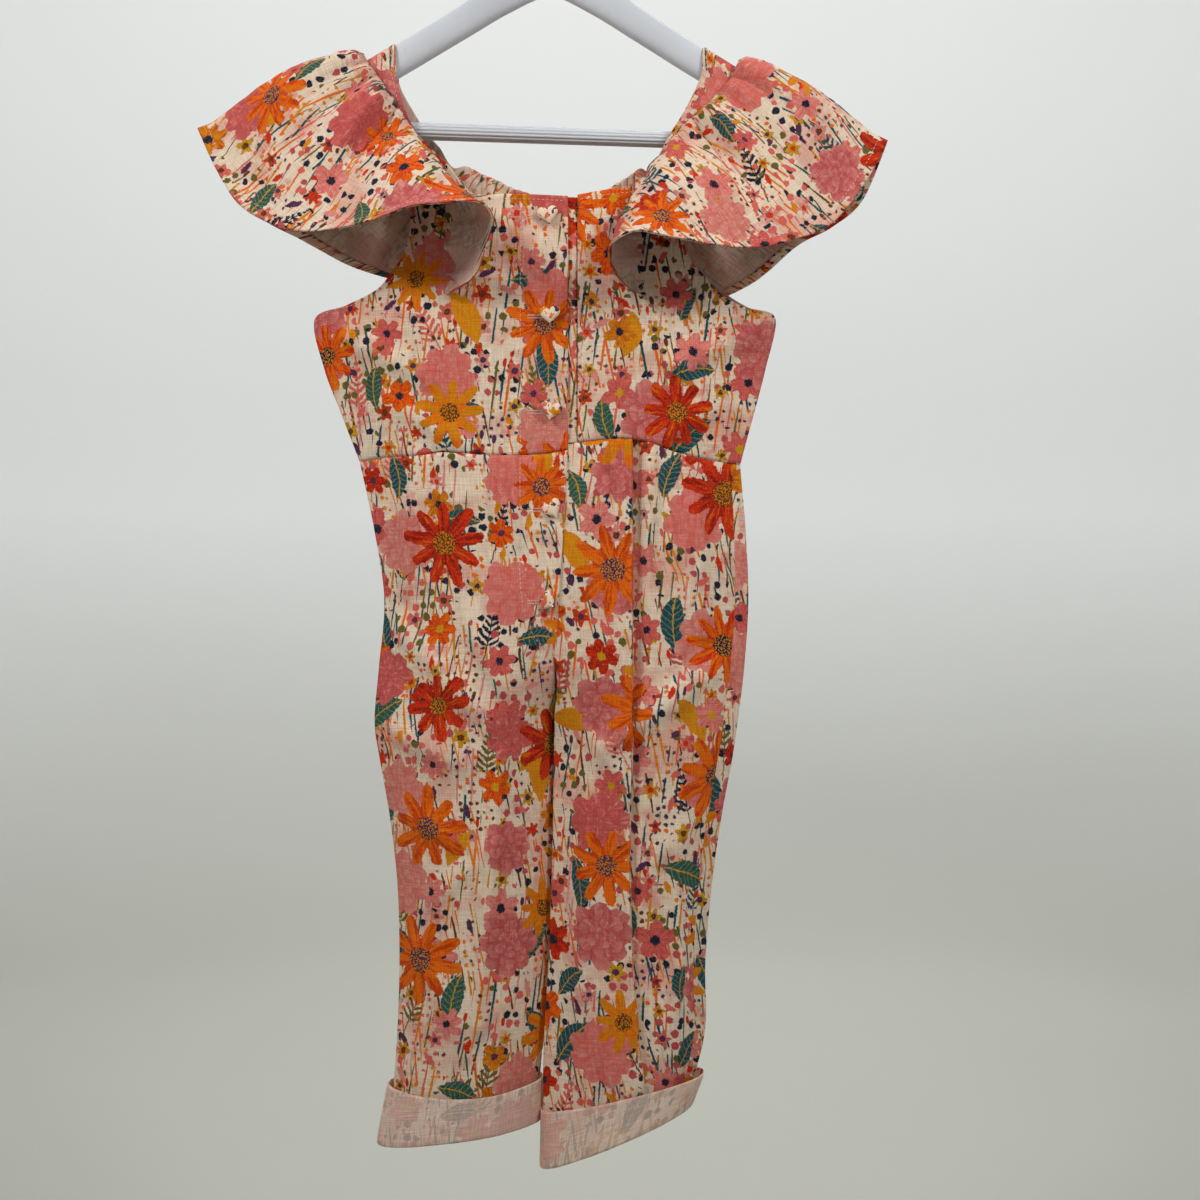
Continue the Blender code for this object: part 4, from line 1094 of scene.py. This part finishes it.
# Bodice fronts. The right front laps over the left one: its edge is a cut-on facing folded in
# and stitched down, and the left one carries a separate button band behind it.
FRONT_RIGHT = [
    # outer_x, outer_z, inner_x, inner_z
    (-141, -442.5, 15.5, -436),
    (-156, -403.5, 15.5, -398),
    (-167.3, -373.5, 15.5, -366),
    (-174.8, -336, 15.5, -334),
    (-150.5, -326.8, 15.5, -323),
    (-127.5, -316.6, 15.5, -310),
    (-115.8, -304.2, 15.5, -296),
    (-104.7, -286, 15.5, -278),
    (-100.3, -256, 15.5, -249),
]
FRONT_LEFT = [
    # outer_x, outer_z, inner_x, inner_z
    (144, -444.5, 22.5, -431),
    (155, -403.5, 22.5, -396),
    (162.8, -373.5, 22.5, -366),
    (170.3, -335, 22.5, -334),
    (150, -329, 22.5, -323),
    (131.5, -321, 22.5, -310),
    (116.5, -306, 22.5, -296),
    (103.5, -290, 22.5, -278),
    (98, -261, 22.5, -247.5),
]
FACING_LINE_X = -19.5
CALM_AT_EDGE = 0.3
UNDER_LAP = 1.75
UNDER_LAP_X = 25.0
UNDER_LAP_REACH = 45.0
BAND_X = (-12.0, 22.2)
BAND_TOP = -249.5


def under_drop(x):
    """How far the left front lies behind the right one, which laps over it."""
    return UNDER_LAP * (1 - smooth((x - UNDER_LAP_X) / UNDER_LAP_REACH))


def front_place(rows, waist, panel, drop):
    def place(u, v):
        share = u if rows[0][0] < rows[0][2] else 1 - u
        outer_x, outer_z, inner_x, inner_z = read_share(rows, v)
        x = blend(outer_x, inner_x, share)
        z = blend(outer_z, inner_z, share)
        z = z + smooth(4 * v - 3) * read(NECK_RISE[panel], share)[0]
        z = z + (1 - smooth(4 * v)) * seam_shift(WAIST_SEAM[waist], *rows[0], share)
        waist_z = read(WAIST_SEAM[waist], x)[0]
        y = -body_depth(x, z, -1) + drop(x) + seam_dip(z - waist_z)
        inside = smooth((z - waist_z) / CALM_BY_SEAM) * smooth(8 * share)
        inside = inside * blend(CALM_AT_EDGE, 1.0, smooth(8 * (1 - share)))
        return np.stack([x, y + rumple(x, z, 1.0) * inside, z], axis=1)
    return place


place_front_right = front_place(FRONT_RIGHT, "right", "front_right", lambda x: 0.0)
front_right = lay_cloth("front_right_cloth", place_front_right, 100, 110, printed_linen, wrong_side,
                        (0.052, 0.613), middle=1, cut="hung")
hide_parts("front_right")
place_front_left = front_place(FRONT_LEFT, "left", "front_left", under_drop)
front_left = lay_cloth("front_left_cloth", place_front_left, 84, 110, printed_linen, wrong_side,
                       (0.455, 0.862), middle=0, cut="hung")
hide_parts("front_left")


def place_band(u, v):
    x = blend(*BAND_X, u)
    z = blend(read(WAIST_SEAM["left"], x)[0], BAND_TOP, v)
    y = -body_depth(x, z, -1) + under_drop(x) + seam_dip((BAND_X[1] - x) * 1.6)
    return np.stack([x, y, z], axis=1)


button_band = lay_cloth("button_band_cloth", place_band, 20, 100, printed_linen, wrong_side, (0.74, 0.21),
                        cut="hung")
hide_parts("placket_under")
for piece in (front_right, front_left, button_band):
    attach(piece, "root")
front_seam = bmesh.new()
sew(front_seam, place_front_right, blend(0.02, 0.98, across), NECK_SEAM)
sew(front_seam, place_front_right, 0.03, up_the_armhole)
facing_line = on_cloth(place_front_right, np.full(60, FACING_LINE_X), np.linspace(-437, -254, 60))
sew(front_seam, place_front_right, *facing_line)
sew(front_seam, place_front_left, blend(0.02, 0.98, across), NECK_SEAM)
sew(front_seam, place_front_left, 0.965, up_the_armhole)
finish_seam("front_stitching", front_seam)

# Shoulder straps. Each is one strip of linen, folded and stitched, that runs from the front
# over the hanger's arm to the back, with the flutter sleeve gathered into its outer seam.
STRAP_RIGHT = [
    # inner_x, inner_z, outer_x, outer_z
    (-42.5, -248, -100.3, -255.7),
    (-68, -229, -109, -240),
    (-86, -212, -120, -224),
    (-99, -196, -131, -207),
    (-108, -175, -141, -186),
    (-113, -155, -148, -170),
]
STRAP_LEFT = [
    # inner_x, inner_z, outer_x, outer_z
    (68.5, -240.5, 98, -260.7),
    (79, -225, 108, -243),
    (89, -204, 120, -225),
    (102, -182, 133, -207),
    (109, -168, 144, -188),
    (115, -154, 151, -172),
]
STRAP_RIGHT_BACK = [
    # inner_x, inner_z, outer_x, outer_z
    (-66.5, -215.7, -101, -243),
    (-80, -205, -109, -229),
    (-93, -191, -120, -213),
    (-103, -175, -132, -196),
    (-110, -163, -142, -182),
    (-113, -155, -148, -170),
]
STRAP_LEFT_BACK = [
    # inner_x, inner_z, outer_x, outer_z
    (72, -219, 98, -247),
    (83, -208, 108, -232),
    (95, -193, 120, -214),
    (105, -178, 133, -198),
    (112, -164, 144, -184),
    (115, -154, 151, -172),
]
BEND_STARTS = 0.36


def strap_half(rows, side, share, climb, panel, run):
    """One half of a strap: climb goes from its foot, 0, to the top of the hanger's arm, 0.5."""
    rise = np.minimum(climb / BEND_STARTS, 1.0)
    inner_x, inner_z, outer_x, outer_z = read_share(rows, rise)
    x = blend(inner_x, outer_x, share)
    z = blend(inner_z, outer_z, share)
    z = z + (1 - smooth(4 * rise)) * (neck_edge(*panel, x) - z)
    bend = np.clip((climb - BEND_STARTS) / (0.5 - BEND_STARTS), 0.0, 1.0)
    x = x - 2.0 * run * bend
    centre = strap_crest(x) - STRAP_BEND
    z = np.where(bend > 0, blend(z, centre, np.minimum(bend / 0.2, 1.0)), z)
    angle = np.clip((bend - 0.2) / 0.8, 0.0, 1.0) * math.pi / 2
    y = np.where(bend > 0.2, side * STRAP_BEND * np.cos(angle), side * body_depth(x, z, side))
    return np.stack([x, y, z + STRAP_BEND * np.sin(angle)], axis=1)


def strap_place(front_rows, back_rows, front_panel):
    run = 1 if front_rows[0][0] < 0 else -1

    def place(u, v):
        share = 1 - u if run > 0 else u
        climb = np.minimum(v, 1 - v)
        front = strap_half(front_rows, -1, share, climb, front_panel, run)
        back = strap_half(back_rows, 1, share, climb, ("back", BACK), run)
        return np.where((v < 0.5)[:, None], front, back)
    return place


straps = [
    ("strap_right", STRAP_RIGHT, STRAP_RIGHT_BACK, ("front_right", FRONT_RIGHT), (0.60, 0.05)),
    ("strap_left", STRAP_LEFT, STRAP_LEFT_BACK, ("front_left", FRONT_LEFT), (0.13, 0.58)),
]
for node, front_rows, back_rows, front_panel, start in straps:
    place = strap_place(front_rows, back_rows, front_panel)
    strap = lay_cloth(node + "_cloth", place, 24, 160, printed_linen, wrong_side, start, thickness=1.2)
    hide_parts(node)
    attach(strap, "root")
    strap_seam = bmesh.new()
    for edge in (0.08, 0.92):
        sew(strap_seam, place, edge, blend(0.01, 0.99, across), 0.7)
    finish_seam(node + "_stitching", strap_seam)

# Flutter sleeves. Each is a full, curved strip of linen, its inner edge gathered into the
# strap's seam and its outer edge hemmed, so that it stands out and falls in wide lobes.
RUFFLE_RIGHT = [
    # share, seam_x, seam_z, hem_x, hem_y, hem_z, stand
    (0.000, -73.5, -322, -71, -30, -322, 0),
    (0.045, -75, -303, -52, -46, -313, 2),
    (0.090, -76.5, -284, -41, -57, -292, 4),
    (0.140, -77.5, -262, -38, -74, -275, 7),
    (0.185, -80, -244, -50, -84, -267, 9),
    (0.225, -86, -225, -84, -86, -271, 12),
    (0.265, -95, -206, -116, -75, -278, 13),
    (0.305, -105.5, -190, -146, -61, -280, 13),
    (0.355, -116.5, -172, -182, -48, -281, 14),
    (0.415, -127, -156, -221, -33, -260, 14),
    (0.460, -133.5, -147, -240, -19, -236, 14),
    (0.500, -137, -142, -263, 0, -192, 13),
    (0.540, -134, -147, -246, 20, -229, 12),
    (0.590, -127, -156, -222, 31, -252, 11),
    (0.650, -116.5, -172, -194, 38, -266, 10),
    (0.710, -105.5, -190, -172, 42, -278, 9),
    (0.770, -96, -210, -150, 43, -288, 8),
    (0.830, -88, -232, -130, 41, -295, 6),
    (0.890, -82, -255, -110, 37, -299, 4),
    (0.950, -79, -278, -93, 32, -302, 2),
    (1.000, -77, -300, -76, 29.5, -303, 0),
]
RUFFLE_LEFT = [
    # share, seam_x, seam_z, hem_x, hem_y, hem_z, stand
    (0.000, 73.5, -325, 71, -30, -325, 0),
    (0.045, 72, -309, 55, -41, -317, 2),
    (0.090, 71, -292, 44.5, -57, -304, 4),
    (0.140, 70, -268, 50, -74, -294, 7),
    (0.185, 72, -248, 67, -84, -288, 10),
    (0.225, 77, -229, 92, -80, -293, 12),
    (0.265, 88, -212, 117, -70, -296, 13),
    (0.305, 100, -197, 145, -60, -294, 13),
    (0.355, 115, -182, 178, -48, -288, 13),
    (0.415, 128, -168, 211, -32, -268, 12),
    (0.460, 137, -157, 238, -17, -233, 11),
    (0.500, 142, -146, 254, -3, -203, 10),
    (0.540, 138, -155, 240, 19, -240, 10),
    (0.590, 130, -166, 219, 31, -258, 10),
    (0.650, 118, -181, 194, 38, -270, 10),
    (0.710, 105, -198, 173, 42, -288, 9),
    (0.770, 95, -217, 153, 43, -302, 8),
    (0.830, 88, -240, 131, 41, -313, 6),
    (0.890, 83, -265, 110, 36, -318, 4),
    (0.950, 80, -290, 93, 32, -320, 2),
    (1.000, 78, -314, 77, 29.5, -321, 0),
]
RUFFLE_SEAM_STAND = 1.1
CREST_WIDTH = 0.06
BOW_STEP = 0.01
BOW_FROM_SEAM = 0.35
LOBES = 9
LOBE_HEIGHT = 3.2
LOBE_STARTS = 0.15
LOBE_FADE = 0.55
GATHERS = 24
GATHER_HEIGHT = 8.5
GATHER_SHARPNESS = 0.6
GATHER_LENGTH = 0.20
GATHER_LENGTH_VARIES = 0.22
TROUGH_SHARE = 0.315
TROUGH_SLANT = 0.05
TROUGH_WIDTH = 0.026
TROUGH_DEPTH = 9.0
HEM_SHARE = 0.06


def ruffle_place(rows):
    facing = 1 if rows[0][1] < 0 else -1

    def seam_and_hem(share):
        seam_x, seam_z, hem_x, hem_y, hem_z, stand = read(rows, share)
        side = np.where(share < 0.5, -1.0, 1.0)
        crest = strap_crest(seam_x)
        seam_z = np.minimum(seam_z, crest)
        depth = np.where(side < 0, body_depth(seam_x, seam_z, -1), body_depth(seam_x, seam_z, 1))
        rise = np.clip(1 - (crest - seam_z) / STRAP_BEND, 0.0, 1.0)
        lift = RUFFLE_SEAM_STAND + np.exp(-((share - 0.5) / CREST_WIDTH) ** 2)
        seam_y = side * (depth + lift * np.sqrt(1 - rise ** 2))
        seam = np.stack([seam_x, seam_y, seam_z + lift * rise], axis=1)
        return seam, np.stack([hem_x, hem_y, hem_z], axis=1), stand

    def place(u, v):
        share = 1 - u if facing > 0 else u
        down = 1 - v
        seam, hem, stand = seam_and_hem(share)
        ahead = seam_and_hem(np.minimum(1.0, share + BOW_STEP))
        behind = seam_and_hem(np.maximum(0.0, share - BOW_STEP))
        along = blend(ahead[0] - behind[0], ahead[1] - behind[1], BOW_FROM_SEAM)
        fall = hem - seam
        bow = np.cross(along, fall)
        bow = bow / np.linalg.norm(bow, axis=1)[:, None] * facing
        ends = clear_of_ends(share, 0.12)
        lobe = np.sin(math.tau * LOBES * share) * LOBE_HEIGHT
        lobe = lobe * smooth(down / LOBE_STARTS) * (1 - LOBE_FADE * down)
        gather = np.abs(np.sin(math.pi * GATHERS * unevenly(share, 0.004, 61.0, 173.0)))
        strength = 0.72 + 0.28 * np.sin(share * 39.0 + 1.0)
        gather = gather ** GATHER_SHARPNESS * GATHER_HEIGHT * strength
        length = GATHER_LENGTH + GATHER_LENGTH_VARIES * np.sin(share * 83.0) ** 2
        gather = gather * np.exp(-(down / length) ** 1.3) * (0.55 + 0.45 * smooth(down / 0.04))
        height = stand * np.sin(math.pi * np.minimum(1.0, down * 1.1) ** 0.8)
        height = height + lobe * ends + gather * clear_of_ends(share, 0.03)
        miss = (share - TROUGH_SHARE - TROUGH_SLANT * down) / TROUGH_WIDTH
        trough = np.exp(-miss ** 2) * np.sin(math.pi * np.minimum(1.0, down * 1.15) ** 0.6)
        height = height - TROUGH_DEPTH * trough
        points = blend(seam, hem, down[:, None]) + bow * height[:, None]
        soft = rumple(points[:, 0], points[:, 2] * 0.7, 7.0) * smooth(down * 4) * ends
        return points + bow * soft[:, None]
    return place


ruffles = [("ruffle_right", RUFFLE_RIGHT, (0.22, 0.42)), ("ruffle_left", RUFFLE_LEFT, (0.93, 0.66))]
for node, rows, start in ruffles:
    place = ruffle_place(rows)
    ruffle = lay_cloth(node + "_cloth", place, 420, 64, printed_linen, wrong_side, start, cut="flounce")
    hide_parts(node)
    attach(ruffle, "root")
    hem = lay_cloth(node + "_hem", turned_edge(place, -CLOTH, 0.001, HEM_SHARE), 420, 4,
                    printed_linen, printed_linen, start, thickness=0.6)
    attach(hem, "root")
    hem_seam = bmesh.new()
    sew(hem_seam, place, blend(0.005, 0.995, across), HEM_SHARE - 0.006)
    finish_seam(node + "_stitching", hem_seam)

# Trousers. Two fronts pleated into the waist seam and two plain backs. The right front's fly
# laps over the left one. The left front's fold lies over itself down the whole leg.
LEG_RIGHT = [
    # outer_x, outer_z, front_x, front_z, back_x, back_z, crease_x, open, under
    (-141, -442.5, 15.5, -436, 1.3, -443.5, -75.5, 1, 0),
    (-130, -493.5, 12.5, -490, 1.7, -493, -77, 1, 0),
    (-122.5, -546, 9, -546, 2.4, -546, -78, 1, 0),
    (-126.5, -596, 5.2, -596, 2.8, -596, -77, 0.86, 0),
    (-129.7, -636, 3.2, -636, 3, -636, -78, 0.25, 0),
    (-126, -664, 2.8, -664, 2.8, -664, -79, 0, 0),
    (-118, -710, 2.2, -710, 2.2, -710, -80.5, 0, 0),
    (-112.5, -760, 1, -760, 1, -760, -82.5, 0, 0),
    (-111, -816, -1.2, -816, -1.2, -816, -84.5, 0, 0),
    (-112.5, -868, -5, -864, -5, -864, -91, 0, 0),
    (-115, -905, -8.9, -896, -8.9, -896, -95, 0, 0),
    (-117, -940.5, -9.9, -926, -9.9, -926, -98, 0, 0),
]
LEG_LEFT = [
    # outer_x, outer_z, front_x, front_z, back_x, back_z, crease_x, open, under
    (144, -444.5, -8, -430, 1.7, -443.5, 62.5, 1, 1.75),
    (148, -493.5, -8, -490, 2.1, -493, 62.5, 1, 1.75),
    (150, -546, -8, -546, 2.8, -546, 62.5, 1, 1.75),
    (147, -596, 6.6, -596, 4, -596, 62.5, 0.86, 1.75),
    (142, -636, 5.2, -636, 4.8, -636, 62.5, 0.25, 0.5),
    (138, -664, 4.7, -664, 4.7, -664, 62.5, 0, 0),
    (129.5, -710, 4, -710, 4, -710, 61, 0, 0),
    (122.5, -760, 2.8, -760, 2.8, -760, 61, 0, 0),
    (117.8, -816, 0.7, -816, 0.7, -816, 63, 0, 0),
    (118, -862, -2.5, -868, -2.5, -868, 67, 0, 0),
    (113, -890, -3.6, -915, -3.6, -915, 70.5, 0, 0),
    (107, -907, -4, -957, -4, -957, 73, 0, 0),
]
# Where the side seam of the left leg shows on its front, rolled in from the edge.
SIDE_SEAM_LEFT = [
    # z, from the edge
    (-940, 8),
    (-816, 10),
    (-690, 12),
    (-546, 11),
    (-441, 8),
]
CREASE_HEIGHT_RIGHT = 3.6
CREASE_AT_HEM = 0.35
TUCK_HEIGHT_LEFT = 5.2
TUCK_DEPTH_LEFT = 5.0
TUCK_REACH = 16.0
TUCK_RECESS = 13.0
CREASE_BLUNTNESS = 1.5
CREASE_REACH = 9.0
FOLD_HALF_STEP = 0.7
FLY_LAP_X = 15.0
# The right leg hangs behind the left one along their inner seams.
LEG_LAP = 3.0
LEG_LAP_DEPTH = 8.0
LEG_LAP_STARTS = 0.7
LEG_COLUMNS = 110
LEG_ROWS = 200
TUCK_COLUMN = 61
SIDE_SEAM_COLUMN = 100


def through_lines(u, columns, lines):
    """Moves the columns of a grid so that pairs of them lie close beside each line."""
    share = u
    stops = [(0.0, np.zeros_like(u))]
    for column, line in lines:
        stops += [(column / columns, line[0] - line[1]), ((column + 1) / columns, line[0] + line[1])]
    stops.append((1.0, np.ones_like(u)))
    for (u_low, low), (u_high, high) in zip(stops, stops[1:]):
        inside = (u >= u_low - 1e-6) & (u <= u_high + 1e-6)
        share = np.where(inside, blend(low, high, (u - u_low) / (u_high - u_low)), share)
    return share


def leg_lap(run, share):
    return smooth((share - LEG_LAP_STARTS) / (1 - LEG_LAP_STARTS)) * (run > 0)


def leg_place(rows, side, waist):
    run = 1 if rows[0][0] < 0 else -1
    tuck = side < 0 and run < 0

    def place(u, v):
        outer_x, outer_z, *inner, crease_x, opened, under = read_share(rows, 1 - v)
        inner_x, inner_z = inner[:2] if side < 0 else inner[2:]
        share = u if run * side < 0 else 1 - u
        if tuck:
            width = outer_x - inner_x
            from_edge = read(SIDE_SEAM_LEFT, outer_z)[0]
            u = through_lines(u, LEG_COLUMNS, [
                (TUCK_COLUMN, ((crease_x - inner_x) / width, FOLD_HALF_STEP / width)),
                (SIDE_SEAM_COLUMN, (1 - from_edge / width, FOLD_HALF_STEP / width))])
            share = 1 - u
        x = blend(outer_x, inner_x, share)
        z = blend(outer_z, inner_z, share)
        lapped = leg_lap(run, share) * np.sqrt(np.clip(1 - opened, 0.0, 1.0))
        x = x + LEG_LAP * lapped
        top = rows[0][:4] if side < 0 else rows[0][:2] + rows[0][4:6]
        z = z + smooth(6 * v - 5) * seam_shift(WAIST_SEAM[waist], *top, share)
        waist_z = read(WAIST_SEAM[waist], x)[0]
        depth = read(BODY, z)[2 if side < 0 else 3]
        leg = SIDE_EDGE + (depth - SIDE_EDGE) * (1 - np.abs(2 * share - 1) ** LENS_POWER)
        edge = smooth(np.minimum(share, 1 - share * (1 - opened)) * 8)
        out = blend(leg, lens_depth(x, z, side), opened) + fold_lift(x, z, side) * edge
        out = out + rumple(x, z, 11.0 + 5 * run + side) * edge * smooth((waist_z - z) / CALM_BY_SEAM)
        if side < 0:
            fade = blend(CREASE_AT_HEM, 1.0, v)
            miss = x - crease_x
            if tuck:
                lap = smooth(0.5 - miss / (2 * FOLD_HALF_STEP)) * np.exp(-np.abs(miss) / TUCK_REACH)
                recess = smooth((miss + FOLD_HALF_STEP) / (2 * FOLD_HALF_STEP))
                recess = recess * smooth((TUCK_RECESS - miss) / TUCK_RECESS)
                out = out + TUCK_HEIGHT_LEFT * fade * lap - TUCK_DEPTH_LEFT * fade * recess
                out = out - seam_dip(x - outer_x + from_edge)
            else:
                crease = np.exp(-np.hypot(miss, CREASE_BLUNTNESS) / CREASE_REACH)
                out = out + CREASE_HEIGHT_RIGHT * fade * crease
            out = out - under * (1 - smooth((x - FLY_LAP_X) / UNDER_LAP_REACH))
        out = out - seam_dip(waist_z - z)
        return np.stack([x, side * out + LEG_LAP_DEPTH * lapped, z], axis=1)
    return place


legs = [
    ("trouser_front_right", LEG_RIGHT, -1, "right", 0.0680, (0.66, 0.30), ()),
    ("trouser_front_left", LEG_LEFT, -1, "left", 0.0740, (0.24, 0.92),
     ((TUCK_COLUMN, (0.019, 0.004)), (SIDE_SEAM_COLUMN, (0.33, 0.21)))),
    ("trouser_back_right", LEG_RIGHT, 1, "back", 0.0660, (0.88, 0.14), ()),
    ("trouser_back_left", LEG_LEFT, 1, "back", 0.0710, (0.43, 0.51), ()),
]
for node, rows, side, waist, area, start, breaks in legs:
    leg = lay_cloth(node + "_cloth", leg_place(rows, side, waist), LEG_COLUMNS, LEG_ROWS,
                    printed_linen, wrong_side, start, cut="hung", breaks=breaks)
    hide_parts(node)
    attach(leg, "root")

FLY_LINE = [
    # x, z
    (-19.8, -441.5),
    (-19.8, -490),
    (-19.5, -530),
    (-16.5, -555),
    (-8.5, -574),
    (3, -584),
]
fly_x, fly_z = read_share(FLY_LINE, np.linspace(0.0, 1.0, 80))
place_fly_front = leg_place(LEG_RIGHT, -1, "right")
fly_seam = bmesh.new()
sew(fly_seam, place_fly_front, *on_cloth(place_fly_front, fly_x, fly_z))
finish_seam("fly_stitching", fly_seam)

# Cuffs. The legs' own ends turned up once, so that the pale wrong side of the linen faces out.
CUFF_RIGHT = [
    # outer_x, outer_z, inner_x, inner_z, front, back, sag
    (-119.5, -907, -7.2, -904.5, 25, 25, 7),
    (-124, -929, -7.6, -919, 26, 26, 3),
    (-127.5, -949, -8, -934, 27, 26, 0),
    (-125.7, -951.4, -9.2, -936.4, 25.2, 24.2, 0),
    (-123.6, -949, -10.7, -934, 23.4, 22.4, 0),
    (-121.8, -944.2, -11.9, -929.7, 21.5, 21, 0),
]
CUFF_LEFT = [
    # outer_x, outer_z, inner_x, inner_z, front, back, sag
    (117, -899, -5.2, -927, 25, 25, 0),
    (113.5, -909, -5.4, -948, 26.5, 26, 0),
    (109, -920, -5.8, -967, 28, 27, 0),
    (107.2, -922.4, -4.6, -969.4, 26.2, 25.2, 0),
    (105.2, -920, -3, -967, 24.4, 23.4, 0),
    (103.6, -915, -1.8, -962, 22.5, 22, 0),
]
CUFF_ROUNDNESS = 0.8


def cuff_place(rows):
    run = 1 if rows[0][0] < 0 else -1

    def place(u, v):
        outer_x, outer_z, inner_x, inner_z, front, back, sag = read_share(rows, 1 - v)
        turn = math.tau * u
        across = 0.5 - 0.5 * run * np.cos(turn)
        lapped = leg_lap(run, across)
        x = blend(outer_x, inner_x, across) + LEG_LAP * lapped
        z = blend(outer_z, inner_z, across) - sag * 4 * across * (1 - across)
        forward = np.sin(turn)
        forward = np.where(np.abs(forward) < 1e-9, 0.0, forward)
        depth = np.where(forward > 0, front, back)
        depth = depth + rumple(x, z, 20.0 + run) * np.abs(forward) * smooth(v * 3)
        y = -np.sign(forward) * depth * np.abs(forward) ** CUFF_ROUNDNESS
        return np.stack([x, y + LEG_LAP_DEPTH * lapped, z], axis=1)
    return place


cuffs = [("cuff_right", CUFF_RIGHT, (0.37, 0.83)), ("cuff_left", CUFF_LEFT, (0.81, 0.44))]
for node, rows, start in cuffs:
    cuff = lay_cloth(node + "_cloth", cuff_place(rows), 180, 40, wrong_side, printed_linen, start,
                     middle=0.25, closed=True)
    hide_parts(node)
    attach(cuff, "root")
    cuff_seam = bmesh.new()
    sew(cuff_seam, cuff_place(rows), blend(0.001, 0.999, across), 0.90)
    finish_seam(node + "_stitching", cuff_seam)

# Buttons. Wooden hearts covered in the same linen, each on a short shank of thread.
BUTTONS = [
    # x, z, turn, tilt
    (1, -264.5, 0.16, 0),
    (2.3, -338, 0.05, 0.10),
    (3, -408, -0.20, -0.15),
    (4.5, -480, 0.55, 0.45),
    (1.5, -547.5, 0.95, 0.60),
]
BUTTON_WIDTH = 15.5
BUTTON_THICKNESS = 5.0
BUTTON_STAND = 0.6

covered_button, place = new_finish("covered_button")
cloth = vector("SCALE", place, scale=1000.0)
flat = add_node("Mapping", {"Vector": cloth, "Rotation": (math.radians(90), 0.0, 0.0)})
height = node_outputs("Group", {"Cloth": flat}, node_tree=linen)[1]
blots = split(clouds(cloth, 0.16, 2.0, out=1))
set_shader(covered_button, {
    "Base Color": paint(CREAM, (blots[0] > 0.585, CORAL), (blots[1] > 0.60, PLUM),
                        (blots[2] > 0.60, MARIGOLD)),
    "Normal": relief(height, 0.0004, 0.5), "Roughness": 0.85, "Specular IOR Level": 0.25})


def heart_outline(turn):
    """A point on a heart's edge, one wide."""
    x = 16 * math.sin(turn) ** 3
    z = 13 * math.cos(turn) - 5 * math.cos(2 * turn) - 2 * math.cos(3 * turn) - math.cos(4 * turn)
    return x / 32, (z + 2.5) / 32


HOLE_X = (-14.0, 3.0)
HOLE_LIP = 1.0
HOLE_STITCHES = 26
HOLE_STITCH = 1.5
WAIST_Z = -440.0
PUFF_ROUNDNESS = 0.7

holes = bmesh.new()
shanks = bmesh.new()
for number, (button_x, button_z, turn, tilt) in enumerate(BUTTONS, start=1):
    front = place_front_right if button_z > WAIST_Z else place_fly_front
    for lip in (-HOLE_LIP, HOLE_LIP):
        hole_x = np.linspace(*HOLE_X, HOLE_STITCHES)
        hole_u, hole_v = on_cloth(front, hole_x, np.full(HOLE_STITCHES, button_z + lip))
        for centre, out in zip(front(hole_u, hole_v), normal_at(front, hole_u, hole_v)):
            centre = centre + out * (CLOTH / 2 + 0.08)
            add_stitch(holes, centre, (0.0, 0.0, 1.0), out, HOLE_STITCH)
    seat_u, seat_v = on_cloth(front, np.array([button_x]), np.array([button_z]))
    seat = front(seat_u, seat_v)[0]
    shank = Matrix.Translation(seat + (0.0, -1.2, 0.0)) @ Matrix.Rotation(math.radians(90), 4, "X")
    bmesh.ops.create_cone(shanks, cap_ends=True, segments=12, radius1=1.5, radius2=1.1, depth=2.2,
                          matrix=shank)
    heart = bmesh.new()
    bmesh.ops.create_uvsphere(heart, u_segments=64, v_segments=24, radius=1.0)
    depth = float(body_depth(np.array([button_x]), np.array([button_z]), -1)[0])
    depth += SOLID_CLOTH / 2 + BUTTON_STAND + BUTTON_THICKNESS / 2
    for vertex in heart.verts:
        rim = math.hypot(vertex.co.x, vertex.co.y)
        edge_x, edge_z = heart_outline(math.atan2(vertex.co.x, vertex.co.y))
        flat_x = edge_x * rim ** PUFF_ROUNDNESS * BUTTON_WIDTH
        flat_z = edge_z * rim ** PUFF_ROUNDNESS * BUTTON_WIDTH
        puff = vertex.co.z * BUTTON_THICKNESS / 2
        across = flat_x * math.cos(turn) - flat_z * math.sin(turn)
        vertex.co = Vector((button_x + across * math.cos(tilt) - puff * math.sin(tilt),
                            -depth - puff * math.cos(tilt) - across * math.sin(tilt),
                            button_z + flat_x * math.sin(turn) + flat_z * math.cos(turn)))
    button = add_piece(f"button_{number}_cover", heart, covered_button)
    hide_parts(f"button_{number}")
    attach(button, "root")
finish_seam("buttonholes", holes)
finish_seam("button_shanks", shanks)
